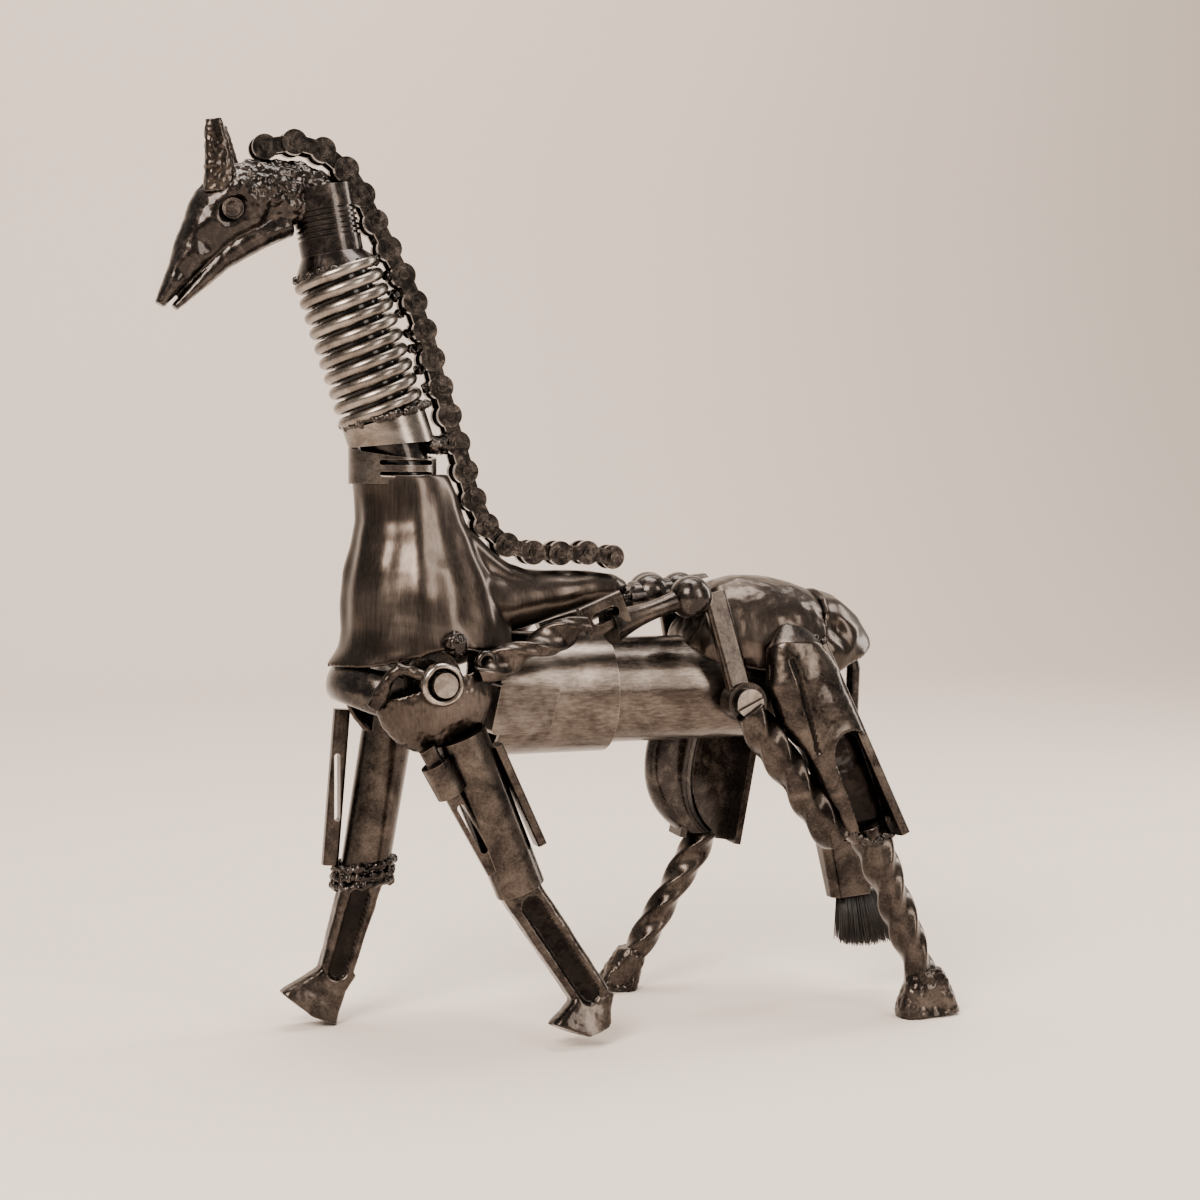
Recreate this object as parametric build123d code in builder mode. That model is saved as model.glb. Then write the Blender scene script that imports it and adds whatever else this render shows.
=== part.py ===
from build123d import *

import os
from math import atan2, cos, degrees, radians, sin

# A standing giraffe welded from scrap steel: a roller chain for a mane, a coil spring round the
# neck, forged bars and tubes for the legs.  It faces -X, +Z is up and its left flank is -Y.
# The ground is Z = 0 and X = 0, Y = 0 is under the middle of the whole figure.

# Overall sizes
BODY_HEIGHT = 147.0        # axis of the barrel above the ground
WHEELBASE = 140.5          # from the shoulder pin back to the hip screw
SHOULDER_X = -64.8
FRONT_STANCE = 34.0        # half the spread of the front legs
HIND_STANCE = 38.0         # half the spread of the hind legs at the hips
HOOF_STANCE = 47.0         # half the spread of the hind hooves

# Barrel
BARREL_RADIUS = 23.5
SLEEVE_RADIUS = 27.0
TUBE_WALL = 2.0
SLEEVE_LENGTH = 54.0

# Neck stack, measured along the neck
NECK_LEAN = 18.4           # degrees forward of upright
CREST_LEAN = 11.0          # the last stretch stands a little straighter
NECK_START = 92.0          # sleeve foot above the barrel axis
NECK_SLEEVE_RADIUS = 19.0
NECK_SLEEVE_LENGTH = 16.0
COLLAR_RADIUS = 18.2
COLLAR_LENGTH = 12.0
NECK_GAP = 9.0             # bare inner tube between sleeve and collar
SPRING_LENGTH = 67.0
SPRING_RADIUS = 19.2       # outside of the coil
WIRE_WIDTH = 5.4
SPRING_TURNS = 10.0
INNER_TUBE_RADIUS = SPRING_RADIUS - WIRE_WIDTH - 0.4
THREAD_RADIUS = 13.4
THREAD_PITCH = 2.2
THREAD_DEPTH = 0.9
CREST_LENGTH = 28.5

# Roller chain of half-inch pitch
PITCH = 12.7
PLATE_HEIGHT = 10.8
PLATE_WAIST = 6.6
PLATE_THICKNESS = 1.5
INNER_WIDTH = 6.4
CHAIN_PIN_RADIUS = 2.0
ROLLER_RADIUS = 3.9
PIN_OVERHANG = 0.9
CHAIN_GAP = 2.9            # daylight between the chain and the back of the spring

# Pins and eyes
PIN_RADIUS = 4.6
PIN_HEAD_RADIUS = 5.6
PIN_HEAD_HEIGHT = 3.0
EYE_RADIUS = 9.2
EYE_WIDTH = 7.0
PIN_RISE = 8.6             # shoulder pin above the barrel axis
HIP_EYE_RADIUS = 9.0
SCREW_RADIUS = 4.2
SCREW_SLOT = 1.4
BAR_THICKNESS = 3.2
CLEARANCE = 0.2            # between the chain and the crown it lies on

# Round pieces of the body
CROSS_TUBE_RADIUS = 13.0
BOWL_RADIUS = 24.0
BOWL_DEPTH = 10.0
KNOB_RADIUS = 9.2
ELBOW_RADIUS = 9.5
LEG_TUBE_RADIUS = 11.5
CREST_RING = 6.0           # height of the ring between spring and threads

# Heights of the leg joints
FRONT_KNEE = 62.0
HIND_KNEE = 78.0
ANKLE = 21.0

os.makedirs("parts", exist_ok=True)

HIP_X = SHOULDER_X + WHEELBASE


def front(x, y, rise):
    """A place given from the shoulder pin, on the height of the barrel axis."""
    return Vector(SHOULDER_X + x, y, BODY_HEIGHT + rise)


def hind(x, y, rise):
    """A place given from the hip screw, on the height of the barrel axis."""
    return Vector(HIP_X + x, y, BODY_HEIGHT + rise)


def along(start, end, side=Vector(0, 1, 0)):
    """A plane at start that looks towards end, its X direction turned towards side."""
    way = (end - start).normalized()
    across = side - way * side.dot(way)
    return Plane(origin=start, x_dir=across, z_dir=way)


def cope(*neighbours):
    """Trim the piece being built back to its neighbours' faces and drop the crumbs."""
    for neighbour in neighbours:
        add(neighbour.part, mode=Mode.SUBTRACT)


def keep_main(piece):
    """The largest lump of a trimmed piece."""
    return piece.part.solids().sort_by(SortBy.VOLUME)[-1]


def round_bar(start, end, start_radius, end_radius):
    """A round bar that tapers evenly from start to end."""
    axis = along(start, end)
    with BuildPart() as bar:
        with BuildSketch(axis):
            Circle(start_radius)
        with BuildSketch(axis.offset((end - start).length)):
            Circle(end_radius)
        loft()
    return bar


def flat_bar(start, end, width, thickness, corner, side=Vector(0, 1, 0)):
    """A flat bar with rounded long edges, its thickness along side."""
    with BuildPart() as bar:
        with BuildSketch(along(start, end, side)):
            RectangleRounded(thickness, width, corner)
        extrude(amount=(end - start).length)
    return bar


def twisted_bar(start, end, width, thickness, turns):
    """A flat bar twisted evenly about its own axis."""
    with BuildSketch(along(start, end)) as section:
        RectangleRounded(width, thickness, thickness * 0.3)
    twist = Solid.extrude_linear_with_rotation(section.sketch.faces()[0], start, end - start, 360 * turns)
    with BuildPart() as bar:
        add(twist)
    return bar


def blend(*rings):
    """A smooth shell through flat ellipses, each given as centre, half length X, half width Y."""
    with BuildPart() as shape:
        for centre, half_x, half_y in rings:
            with BuildSketch(Plane(origin=centre, x_dir=(1, 0, 0), z_dir=(0, 0, 1))):
                Ellipse(half_x, half_y)
        loft()
    return shape


def spine_blend(*rings):
    """A smooth shell through upright ellipses, each given as centre, half width Y, half height Z."""
    with BuildPart() as shape:
        for centre, half_y, half_z in rings:
            with BuildSketch(Plane(origin=centre, x_dir=(0, 1, 0), z_dir=(1, 0, 0))):
                Ellipse(half_y, half_z)
        loft()
    return shape


# ---------------------------------------------------------------- barrel and its front sleeve
SEAM_X = SHOULDER_X + 30.5 + SLEEVE_LENGTH
BARREL_END_X = HIP_X + 26.0
barrel_start = Plane(origin=(SEAM_X, 0, BODY_HEIGHT), x_dir=(0, 1, 0), z_dir=(1, 0, 0))

with BuildPart() as body_barrel:
    with BuildSketch(barrel_start):
        Circle(BARREL_RADIUS)
        Circle(BARREL_RADIUS - TUBE_WALL, mode=Mode.SUBTRACT)
    extrude(amount=BARREL_END_X - SEAM_X)
    fillet(body_barrel.edges().group_by(Axis.X)[-1].sort_by(SortBy.LENGTH)[-1], TUBE_WALL * 0.8)
body_barrel.part.label = "body_barrel"
export_step(body_barrel.part, "parts/body_barrel.step")

with BuildPart() as body_sleeve:
    with BuildSketch(barrel_start):
        Circle(SLEEVE_RADIUS)
        Circle(SLEEVE_RADIUS - TUBE_WALL, mode=Mode.SUBTRACT)
    extrude(amount=-SLEEVE_LENGTH)
    # an inward lip at the seam closes the step down to the barrel
    with BuildSketch(barrel_start):
        Circle(SLEEVE_RADIUS)
        Circle(BARREL_RADIUS - TUBE_WALL, mode=Mode.SUBTRACT)
    extrude(amount=-TUBE_WALL * 1.5)
body_sleeve.part.label = "body_sleeve"
export_step(body_sleeve.part, "parts/body_sleeve.step")

with BuildPart() as sleeve_core:
    with BuildSketch(barrel_start):
        Circle(SLEEVE_RADIUS)
    extrude(amount=-SLEEVE_LENGTH)

with BuildPart() as barrel_core:
    with BuildSketch(barrel_start):
        Circle(BARREL_RADIUS)
    extrude(amount=BARREL_END_X - SEAM_X)

# ---------------------------------------------------------------- chest: trumpet bell and withers
bell_outer = (
    (front(7.5, 0, 8), 42.0, 33.0),
    (front(8.5, 0, 24), 40.5, 34.0),
    (front(8.0, 0, 42), 39.0, 31.5),
    (front(1.5, 0, 59), 31.5, 26.5),
    (front(-2.5, 0, 76), 23.8, 22.0),
    (front(-7.2, 0, NECK_START), 21.4, 20.0),
)
bell_inner = tuple((c, a - TUBE_WALL, b - TUBE_WALL) for c, a, b in bell_outer)
bell_solid = blend(*bell_outer)
bell_cavity = blend(*bell_inner)
withers = spine_blend(
    (front(10, 0, 40), 24.0, 17.0),
    (front(45, 0, 43), 17.0, 11.0),
    (front(80, 0, 47), 11.0, 8.0),
    (front(100, 0, 44.5), 6.0, 4.5),
)

with BuildPart() as chest_shell:
    add(bell_solid.part)
    add(withers.part)
    add(bell_cavity.part, mode=Mode.SUBTRACT)
    # the lower edge arches over the shoulders
    with BuildSketch(Plane.XZ.offset(-60)):
        with Locations((SHOULDER_X + 8, BODY_HEIGHT - 20)):
            Ellipse(58, 41)
    extrude(amount=120, mode=Mode.SUBTRACT)
    add(sleeve_core.part, mode=Mode.SUBTRACT)
    add(keep_main(chest_shell), mode=Mode.REPLACE)
chest_shell.part.label = "chest_shell"
export_step(chest_shell.part, "parts/chest_shell.step")

# ---------------------------------------------------------------- shoulders
with BuildPart() as shoulder_cross_tube:
    with BuildSketch(Plane.XZ.offset(-(FRONT_STANCE - 8))):
        with Locations((SHOULDER_X, BODY_HEIGHT + PIN_RISE)):
            Circle(CROSS_TUBE_RADIUS)
            Circle(PIN_RADIUS, mode=Mode.SUBTRACT)
    extrude(amount=2 * (FRONT_STANCE - 8))
    cope(chest_shell)
    add(keep_main(shoulder_cross_tube), mode=Mode.REPLACE)
shoulder_cross_tube.part.label = "shoulder_cross_tube"
export_step(shoulder_cross_tube.part, "parts/shoulder_cross_tube.step")


def shoulder_bowl(side):
    """A shallow cast bowl, round face outwards, bored for the pin."""
    face = Plane(origin=front(0, side * (FRONT_STANCE - 8), 3), x_dir=(side * -1, 0, 0), z_dir=(0, side, 0))
    with BuildPart() as bowl:
        with BuildSketch(face):
            Circle(BOWL_RADIUS)
        with BuildSketch(face.offset(BOWL_DEPTH / 2)):
            Circle(BOWL_RADIUS * 0.96)
        with BuildSketch(face.offset(BOWL_DEPTH)):
            Circle(BOWL_RADIUS * 0.62)
        loft()
        with BuildSketch(Plane(origin=front(0, 0, PIN_RISE), x_dir=face.x_dir, z_dir=face.z_dir)):
            Circle(PIN_RADIUS)
        extrude(amount=60, mode=Mode.SUBTRACT)
        cope(chest_shell, sleeve_core, shoulder_cross_tube)
        add(keep_main(bowl), mode=Mode.REPLACE)
    return bowl


shoulder_disc_left = shoulder_bowl(-1)
shoulder_disc_left.part.label = "shoulder_disc_left"
export_step(shoulder_disc_left.part, "parts/shoulder_disc_left.step")

shoulder_disc_right = shoulder_bowl(1)
shoulder_disc_right.part.label = "shoulder_disc_right"
export_step(shoulder_disc_right.part, "parts/shoulder_disc_right.step")

EYE_INNER = FRONT_STANCE + 2.0
with BuildPart() as shoulder_eyes:
    for side in (-1, 1):
        ring_face = Plane(origin=front(0, side * EYE_INNER, PIN_RISE), x_dir=(1, 0, 0), z_dir=(0, side, 0))
        with BuildSketch(ring_face):
            Circle(EYE_RADIUS)
            Circle(PIN_RADIUS, mode=Mode.SUBTRACT)
        extrude(amount=EYE_WIDTH)
shoulder_eyes.part.label = "shoulder_eyes"
export_step(shoulder_eyes.part, "parts/shoulder_eyes.step")

with BuildPart() as shoulder_pin:
    with BuildSketch(Plane.XZ.offset(-(EYE_INNER + EYE_WIDTH))):
        with Locations((SHOULDER_X, BODY_HEIGHT + PIN_RISE)):
            Circle(PIN_RADIUS)
    extrude(amount=2 * (EYE_INNER + EYE_WIDTH))
    for side in (-1, 1):
        pin_end = front(0, side * (EYE_INNER + EYE_WIDTH), PIN_RISE)
        with BuildSketch(Plane(origin=pin_end, x_dir=(1, 0, 0), z_dir=(0, side, 0))):
            Circle(PIN_HEAD_RADIUS)
        extrude(amount=PIN_HEAD_HEIGHT, taper=8)
shoulder_pin.part.label = "shoulder_pin"
export_step(shoulder_pin.part, "parts/shoulder_pin.step")

# ---------------------------------------------------------------- neck stack
neck_foot = front(-10.5, 0, NECK_START)
lean = Vector(-sin(radians(NECK_LEAN)), 0, cos(radians(NECK_LEAN)))
neck_base = Plane(origin=neck_foot, x_dir=(1, 0, 0), z_dir=(0, 0, 1))
neck = Plane(origin=neck_foot + Vector(2.2, 0, 9.5), x_dir=(cos(radians(NECK_LEAN)), 0, -lean.X), z_dir=lean)
COLLAR_FOOT = NECK_GAP - 1.0
SPRING_FOOT = COLLAR_FOOT + COLLAR_LENGTH
SPRING_TOP = SPRING_FOOT + SPRING_LENGTH

with BuildPart() as neck_slotted_sleeve:
    with BuildSketch(neck_base):
        Circle(NECK_SLEEVE_RADIUS)
        Circle(NECK_SLEEVE_RADIUS - TUBE_WALL, mode=Mode.SUBTRACT)
    extrude(amount=NECK_SLEEVE_LENGTH)
    # the rim is cut on a slant, lowest on the near side and the back
    rim_cut = Plane(origin=neck_foot + Vector(0, 0, NECK_SLEEVE_LENGTH - 2.5), z_dir=(0.1, -0.12, 1))
    split(bisect_by=rim_cut, keep=Keep.BOTTOM)
    for rise in (4.0, 9.0):
        with BuildSketch(Plane.XZ.offset(0)):
            with Locations((neck_foot.X + 2, neck_foot.Z + rise)):
                SlotOverall(24, 2.2)
        extrude(amount=30, mode=Mode.SUBTRACT)
    cope(chest_shell)
    add(keep_main(neck_slotted_sleeve), mode=Mode.REPLACE)
neck_slotted_sleeve.part.label = "neck_slotted_sleeve"
export_step(neck_slotted_sleeve.part, "parts/neck_slotted_sleeve.step")

# one tube runs from inside the sleeve, through the collar and the spring, up to the crest ring
with BuildPart() as neck_inner_tube:
    with BuildSketch(neck.offset(-10)):
        Circle(INNER_TUBE_RADIUS)
        Circle(INNER_TUBE_RADIUS - TUBE_WALL, mode=Mode.SUBTRACT)
    extrude(amount=10 + SPRING_TOP)
    cope(neck_slotted_sleeve, chest_shell)
    add(keep_main(neck_inner_tube), mode=Mode.REPLACE)
neck_inner_tube.part.label = "neck_inner_tube"
export_step(neck_inner_tube.part, "parts/neck_inner_tube.step")

with BuildPart() as neck_lower_collar:
    with BuildSketch(neck.offset(COLLAR_FOOT - 3)):
        Circle(COLLAR_RADIUS)
    extrude(amount=SPRING_FOOT - COLLAR_FOOT + 3)
    # the bottom is sawn level, the inside is a socket for the inner tube
    split(bisect_by=Plane(origin=neck.origin + lean * COLLAR_FOOT, z_dir=(-0.09, 0, 1)), keep=Keep.TOP)
    with BuildSketch(neck):
        Circle(INNER_TUBE_RADIUS)
    extrude(amount=SPRING_FOOT, mode=Mode.SUBTRACT)
    cope(neck_slotted_sleeve)
neck_lower_collar.part.label = "neck_lower_collar"
export_step(neck_lower_collar.part, "parts/neck_lower_collar.step")

# the coil ends are ground flat, so it stands on the collar and under the crest ring
with BuildPart() as neck_spring:
    with BuildLine(neck.offset(SPRING_FOOT - WIRE_WIDTH * 0.1)) as coil:
        Helix(
            pitch=SPRING_LENGTH / SPRING_TURNS,
            height=SPRING_LENGTH + WIRE_WIDTH * 0.2,
            radius=SPRING_RADIUS - WIRE_WIDTH / 2,
            direction=lean,
        )
    with BuildSketch(Plane(origin=coil.line @ 0, z_dir=coil.line % 0)):
        Circle(WIRE_WIDTH / 2)
    sweep(path=coil.line, is_frenet=True)
    split(bisect_by=neck.offset(SPRING_FOOT), keep=Keep.TOP)
    split(bisect_by=neck.offset(SPRING_TOP), keep=Keep.BOTTOM)
neck_spring.part.label = "neck_spring"
export_step(neck_spring.part, "parts/neck_spring.step")

crest_way = Vector(-sin(radians(CREST_LEAN)), 0, cos(radians(CREST_LEAN)))
crest_across = Vector(crest_way.Z, 0, -crest_way.X)
crest = Plane(origin=neck.origin + lean * SPRING_TOP, x_dir=crest_across, z_dir=crest_way)
with BuildPart() as neck_top_ring:
    with BuildSketch(neck.offset(SPRING_TOP)):
        Circle(SPRING_RADIUS - 1.5)
    with BuildSketch(crest.offset(CREST_RING)):
        Circle(THREAD_RADIUS)
    loft()
neck_top_ring.part.label = "neck_top_ring"
export_step(neck_top_ring.part, "parts/neck_top_ring.step")

# ---------------------------------------------------------------- roller chain mane
# The chain lies over the crown, down the back of the neck and out along the withers.
poll = crest.origin + crest_way * (CREST_RING + CREST_LENGTH - 3)
neck_back = neck.origin + neck.x_dir * (SPRING_RADIUS + PLATE_HEIGHT / 2 + CHAIN_GAP)
with BuildLine() as mane_line:
    Spline(
        poll + Vector(-25, 0, 18.5),
        poll + Vector(-11.5, 0, 21),
        poll + Vector(1.5, 0, 17.5),
        poll + Vector(12, 0, 8),
        poll + Vector(23, 0, -12),
        neck_back + lean * (SPRING_FOOT + SPRING_LENGTH * 0.7),
        neck_back + lean * (SPRING_FOOT + SPRING_LENGTH * 0.2),
        front(20.5, 0, NECK_START + 7),
        front(28.5, 0, 77),
        front(37, 0, 67),
        front(48, 0, 62.5),
        front(77, 0, 61.5),
        front(97, 0, 56),
    )
mane = mane_line.edges()[0]
links = int(mane.length / PITCH)
pins_at = [mane @ (link * PITCH / mane.length) for link in range(links + 1)]
chain_pairs = list(zip(pins_at, pins_at[1:]))


def side_plates(start, end, inner_face):
    """The two figure-of-eight side plates of one link, bored for its two pins."""
    middle = (start + end) * 0.5
    length = (end - start).length
    with BuildPart() as plates:
        for side in (-1, 1):
            with BuildSketch(Plane(origin=middle, x_dir=end - start, z_dir=(0, side, 0)).offset(inner_face)):
                with Locations((-length / 2, 0), (length / 2, 0)):
                    Circle(PLATE_HEIGHT / 2)
                Rectangle(length, PLATE_WAIST)
                with Locations((-length / 2, 0), (length / 2, 0)):
                    Circle(CHAIN_PIN_RADIUS, mode=Mode.SUBTRACT)
            extrude(amount=PLATE_THICKNESS)
    return plates


INNER_FACE = INNER_WIDTH / 2
OUTER_FACE = INNER_FACE + PLATE_THICKNESS
PIN_HALF = OUTER_FACE + PLATE_THICKNESS + PIN_OVERHANG

inner_links = [side_plates(start, end, INNER_FACE) for start, end in chain_pairs[0::2]]
with BuildPart() as chain_inner_plates:
    for link in inner_links:
        add(link.part)
chain_inner_plates.part.label = "chain_inner_plates"
export_step(chain_inner_plates.part, "parts/chain_inner_plates.step")

outer_links = [side_plates(start, end, OUTER_FACE) for start, end in chain_pairs[1::2]]
with BuildPart() as chain_outer_plates:
    for link in outer_links:
        add(link.part)
chain_outer_plates.part.label = "chain_outer_plates"
export_step(chain_outer_plates.part, "parts/chain_outer_plates.step")

with BuildPart() as chain_rollers:
    for pin in pins_at:
        with BuildSketch(Plane(origin=pin, x_dir=(1, 0, 0), z_dir=(0, 1, 0)).offset(-INNER_FACE)):
            Circle(ROLLER_RADIUS)
            Circle(CHAIN_PIN_RADIUS, mode=Mode.SUBTRACT)
        extrude(amount=INNER_WIDTH)
chain_rollers.part.label = "chain_rollers"
export_step(chain_rollers.part, "parts/chain_rollers.step")

with BuildPart() as chain_pins:
    for pin in pins_at:
        with BuildSketch(Plane(origin=pin, x_dir=(1, 0, 0), z_dir=(0, 1, 0)).offset(-PIN_HALF)):
            Circle(CHAIN_PIN_RADIUS)
        extrude(amount=2 * PIN_HALF)
chain_pins.part.label = "chain_pins"
export_step(chain_pins.part, "parts/chain_pins.step")

# the bed that the chain's first links need, over the crown
BED_LINKS = 7
bed_face = Plane.XZ.offset(-(PIN_HALF + CLEARANCE))
with BuildPart() as chain_bed:
    with BuildSketch(bed_face):
        for start, end in chain_pairs[:BED_LINKS]:
            way = end - start
            with Locations(((start.X + end.X) / 2, (start.Z + end.Z) / 2)):
                SlotCenterToCenter(way.length, PLATE_HEIGHT, rotation=degrees(atan2(way.Z, way.X)))
    extrude(amount=2 * (PIN_HALF + CLEARANCE))

THREADS = int(CREST_LENGTH * 0.5 / THREAD_PITCH)
with BuildPart() as neck_top_plug:
    with BuildSketch(crest.offset(CREST_RING)):
        Circle(THREAD_RADIUS)
    extrude(amount=CREST_LENGTH)
    for turn in range(THREADS):
        with BuildSketch(crest.offset(CREST_RING + 7 + turn * THREAD_PITCH)):
            Circle(THREAD_RADIUS + 1)
            Circle(THREAD_RADIUS - THREAD_DEPTH, mode=Mode.SUBTRACT)
        extrude(amount=THREAD_PITCH / 2, mode=Mode.SUBTRACT)
    cope(chain_bed)
    add(keep_main(neck_top_plug), mode=Mode.REPLACE)
neck_top_plug.part.label = "neck_top_plug"
export_step(neck_top_plug.part, "parts/neck_top_plug.step")

# ---------------------------------------------------------------- head


def face_at(x, y, z):
    """A place on the head, given from the poll where the neck ends."""
    return poll + Vector(x, y, z)


def head_blend(*rings):
    """A smooth form along the head: each ring is a centre, a tilt, a half height and a half width."""
    with BuildPart() as shape:
        for centre, tilt, half_high, half_wide in rings:
            way = Vector(-cos(radians(tilt)), 0, -sin(radians(tilt)))
            with BuildSketch(Plane(origin=centre, x_dir=(0, 1, 0), z_dir=way)):
                Ellipse(half_wide, half_high)
        loft()
    return shape


skull = head_blend(
    (face_at(8, 0, 1), 10, 9.5, 9.0),
    (face_at(-10, 0, 1), 20, 14.5, 13.0),
    (face_at(-28, 0, -4), 35, 17.0, 14.5),
    (face_at(-42, 0, -13), 42, 14.0, 11.5),
)
with BuildPart() as skull_crown:
    add(skull.part)
    cope(neck_top_plug, chain_bed)
    add(keep_main(skull_crown), mode=Mode.REPLACE)
skull_crown.part.label = "skull_crown"
export_step(skull_crown.part, "parts/skull_crown.step")

muzzle = head_blend(
    (face_at(-38, 0, -8), 50, 12.0, 11.0),
    (face_at(-50, 0, -26), 58, 9.0, 8.5),
    (face_at(-60, 0, -43), 60, 6.0, 6.5),
    (face_at(-67, 0, -56), 62, 2.4, 4.0),
)
with BuildPart() as upper_jaw:
    add(muzzle.part)
    cope(skull_crown)
    add(keep_main(upper_jaw), mode=Mode.REPLACE)
upper_jaw.part.label = "upper_jaw"
export_step(upper_jaw.part, "parts/upper_jaw.step")

mandible = head_blend(
    (face_at(-16, 0, -14), 30, 6.0, 7.5),
    (face_at(-34, 0, -23), 38, 6.5, 7.0),
    (face_at(-49, 0, -38), 50, 4.5, 5.5),
    (face_at(-62.5, 0, -57), 58, 1.8, 3.6),
)
with BuildPart() as lower_jaw:
    add(mandible.part)
    cope(skull_crown, upper_jaw, neck_top_plug)
    add(keep_main(lower_jaw), mode=Mode.REPLACE)
lower_jaw.part.label = "lower_jaw"
export_step(lower_jaw.part, "parts/lower_jaw.step")

EYE_X = -38.5
EYE_Z = -10.0
with BuildPart() as eye_rings:
    for side in (-1, 1):
        socket = Plane(origin=face_at(EYE_X, side * 7, EYE_Z), x_dir=(1, 0, 0), z_dir=(-0.25, side, 0.1))
        with BuildSketch(socket):
            Circle(4.4)
            Circle(3.1, mode=Mode.SUBTRACT)
        extrude(amount=7.5)
    cope(skull_crown, upper_jaw)
    for ring in eye_rings.solids().sort_by(SortBy.VOLUME)[:-2]:
        add(ring, mode=Mode.SUBTRACT)
eye_rings.part.label = "eye_rings"
export_step(eye_rings.part, "parts/eye_rings.step")

with BuildPart() as eye_domes:
    for side in (-1, 1):
        socket = Plane(origin=face_at(EYE_X, side * 7, EYE_Z), x_dir=(1, 0, 0), z_dir=(-0.25, side, 0.1))
        with BuildSketch(socket):
            Circle(3.1)
        extrude(amount=7.0)
    cope(skull_crown, upper_jaw)
eye_domes.part.label = "eye_domes"
export_step(eye_domes.part, "parts/eye_domes.step")


def horn(side):
    """A short slanted stub with a chisel-cut top."""
    foot = face_at(-43, side * 7.5, -4)
    tip = face_at(-46.5, side * 9.5, 31)
    with BuildPart() as stub:
        with BuildSketch(along(foot, tip)):
            RectangleRounded(6.5, 12, 2.5)
        with BuildSketch(along(foot, tip).offset((tip - foot).length)):
            RectangleRounded(4.5, 8, 1.8)
        loft()
        split(bisect_by=Plane(origin=tip - Vector(0, 0, 3), z_dir=(-0.5, 0, 1)), keep=Keep.BOTTOM)
        cope(skull_crown, upper_jaw)
        add(keep_main(stub), mode=Mode.REPLACE)
    return stub


horn_left = horn(-1)
horn_left.part.label = "horn_left"
export_step(horn_left.part, "parts/horn_left.step")

horn_right = horn(1)
horn_right.part.label = "horn_right"
export_step(horn_right.part, "parts/horn_right.step")

# ---------------------------------------------------------------- rump
rump_solid = spine_blend(
    (hind(-12, 0, 27), 20.0, 22.0),
    (hind(4, 0, 24), 27.0, 27.0),
    (hind(28, 0, 20), 31.0, 29.0),
    (hind(46, 0, 15), 29.5, 27.5),
    (hind(59, 0, 8), 24.0, 22.0),
)
with BuildPart() as rump_shell:
    add(rump_solid.part)
    cope(barrel_core)
    add(keep_main(rump_shell), mode=Mode.REPLACE)
    # only the roof of the rump is one sheet; the haunches below are the thigh plates
    split(bisect_by=Plane(origin=hind(0, 0, 8), z_dir=(0.12, 0, 1)), keep=Keep.TOP)
    add(keep_main(rump_shell), mode=Mode.REPLACE)
rump_shell.part.label = "rump_shell"
export_step(rump_shell.part, "parts/rump_shell.step")

with BuildPart() as rump_rear_panel:
    with BuildSketch(Plane(origin=hind(57.0, 0, 25), x_dir=(0, 1, 0), z_dir=(0.86, 0, 0.5))):
        RectangleRounded(40, 40, 12)
    extrude(amount=TUBE_WALL * 1.6, both=True)
    cope(rump_shell)
    add(keep_main(rump_rear_panel), mode=Mode.REPLACE)
rump_rear_panel.part.label = "rump_rear_panel"
export_step(rump_rear_panel.part, "parts/rump_rear_panel.step")

spine_blank = round_bar(front(98, 0, 40), hind(-4, 0, 43), 8.0, 8.6)
with BuildPart() as spine_bar:
    add(spine_blank.part)
    with Locations(hind(-31, 0, 42.5), hind(-17, 0, 43)):
        Sphere(KNOB_RADIUS)
    add(rump_solid.part, mode=Mode.SUBTRACT)
    cope(chest_shell)
    add(keep_main(spine_bar), mode=Mode.REPLACE)
spine_bar.part.label = "spine_bar"
export_step(spine_bar.part, "parts/spine_bar.step")

# ---------------------------------------------------------------- side linkages, the same on both flanks
STRAP_Y = FRONT_STANCE - 1.0
ROD_Y = FRONT_STANCE - 4.0
strap_end = front(66, -STRAP_Y, 32)
rod_end = hind(-27, -ROD_Y + 5, 41)


def at_side(place, side):
    """The same place on the left (-1) or right (+1) flank."""
    return Vector(place.X, -side * place.Y, place.Z)


def strap(side):
    """A twisted flat strap that ends in a slotted eye."""
    start = at_side(front(17, -STRAP_Y, 12), side)
    end = at_side(strap_end, side)
    twist = twisted_bar(start, end, 13.0, 7.0, 1.0)
    way = (end - start).normalized()
    with BuildPart() as bar:
        add(twist.part)
        with BuildSketch(along(end - way, end + way)):
            RectangleRounded(6.0, 15.0, 2.5)
        extrude(amount=20)
        with BuildSketch(Plane(origin=end + way * 9, x_dir=way, z_dir=(0, 1, 0))):
            SlotOverall(13, 5.4)
        extrude(amount=40, both=True, mode=Mode.SUBTRACT)
        cope(chest_shell, shoulder_bowls[side], body_sleeve, shoulder_eyes, shoulder_pin)
        add(keep_main(bar), mode=Mode.REPLACE)
    return bar


shoulder_bowls = {-1: shoulder_disc_left, 1: shoulder_disc_right}
side_strap_left = strap(-1)
side_strap_left.part.label = "side_strap_left"
export_step(side_strap_left.part, "parts/side_strap_left.step")

side_strap_right = strap(1)
side_strap_right.part.label = "side_strap_right"
export_step(side_strap_right.part, "parts/side_strap_right.step")
side_straps = {-1: side_strap_left, 1: side_strap_right}


def tie_rod(side):
    """A round rod with a trumpet end towards the strap."""
    start = at_side(front(78, -ROD_Y, 30), side)
    end = at_side(rod_end, side)
    axis = along(start, end)
    length = (end - start).length
    with BuildPart() as rod:
        with BuildSketch(axis):
            Circle(8.5)
        with BuildSketch(axis.offset(length * 0.28)):
            Circle(5.6)
        with BuildSketch(axis.offset(length)):
            Circle(5.0)
        loft()
        cope(chest_shell, side_straps[side], body_sleeve, spine_bar)
        add(keep_main(rod), mode=Mode.REPLACE)
    return rod


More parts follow.
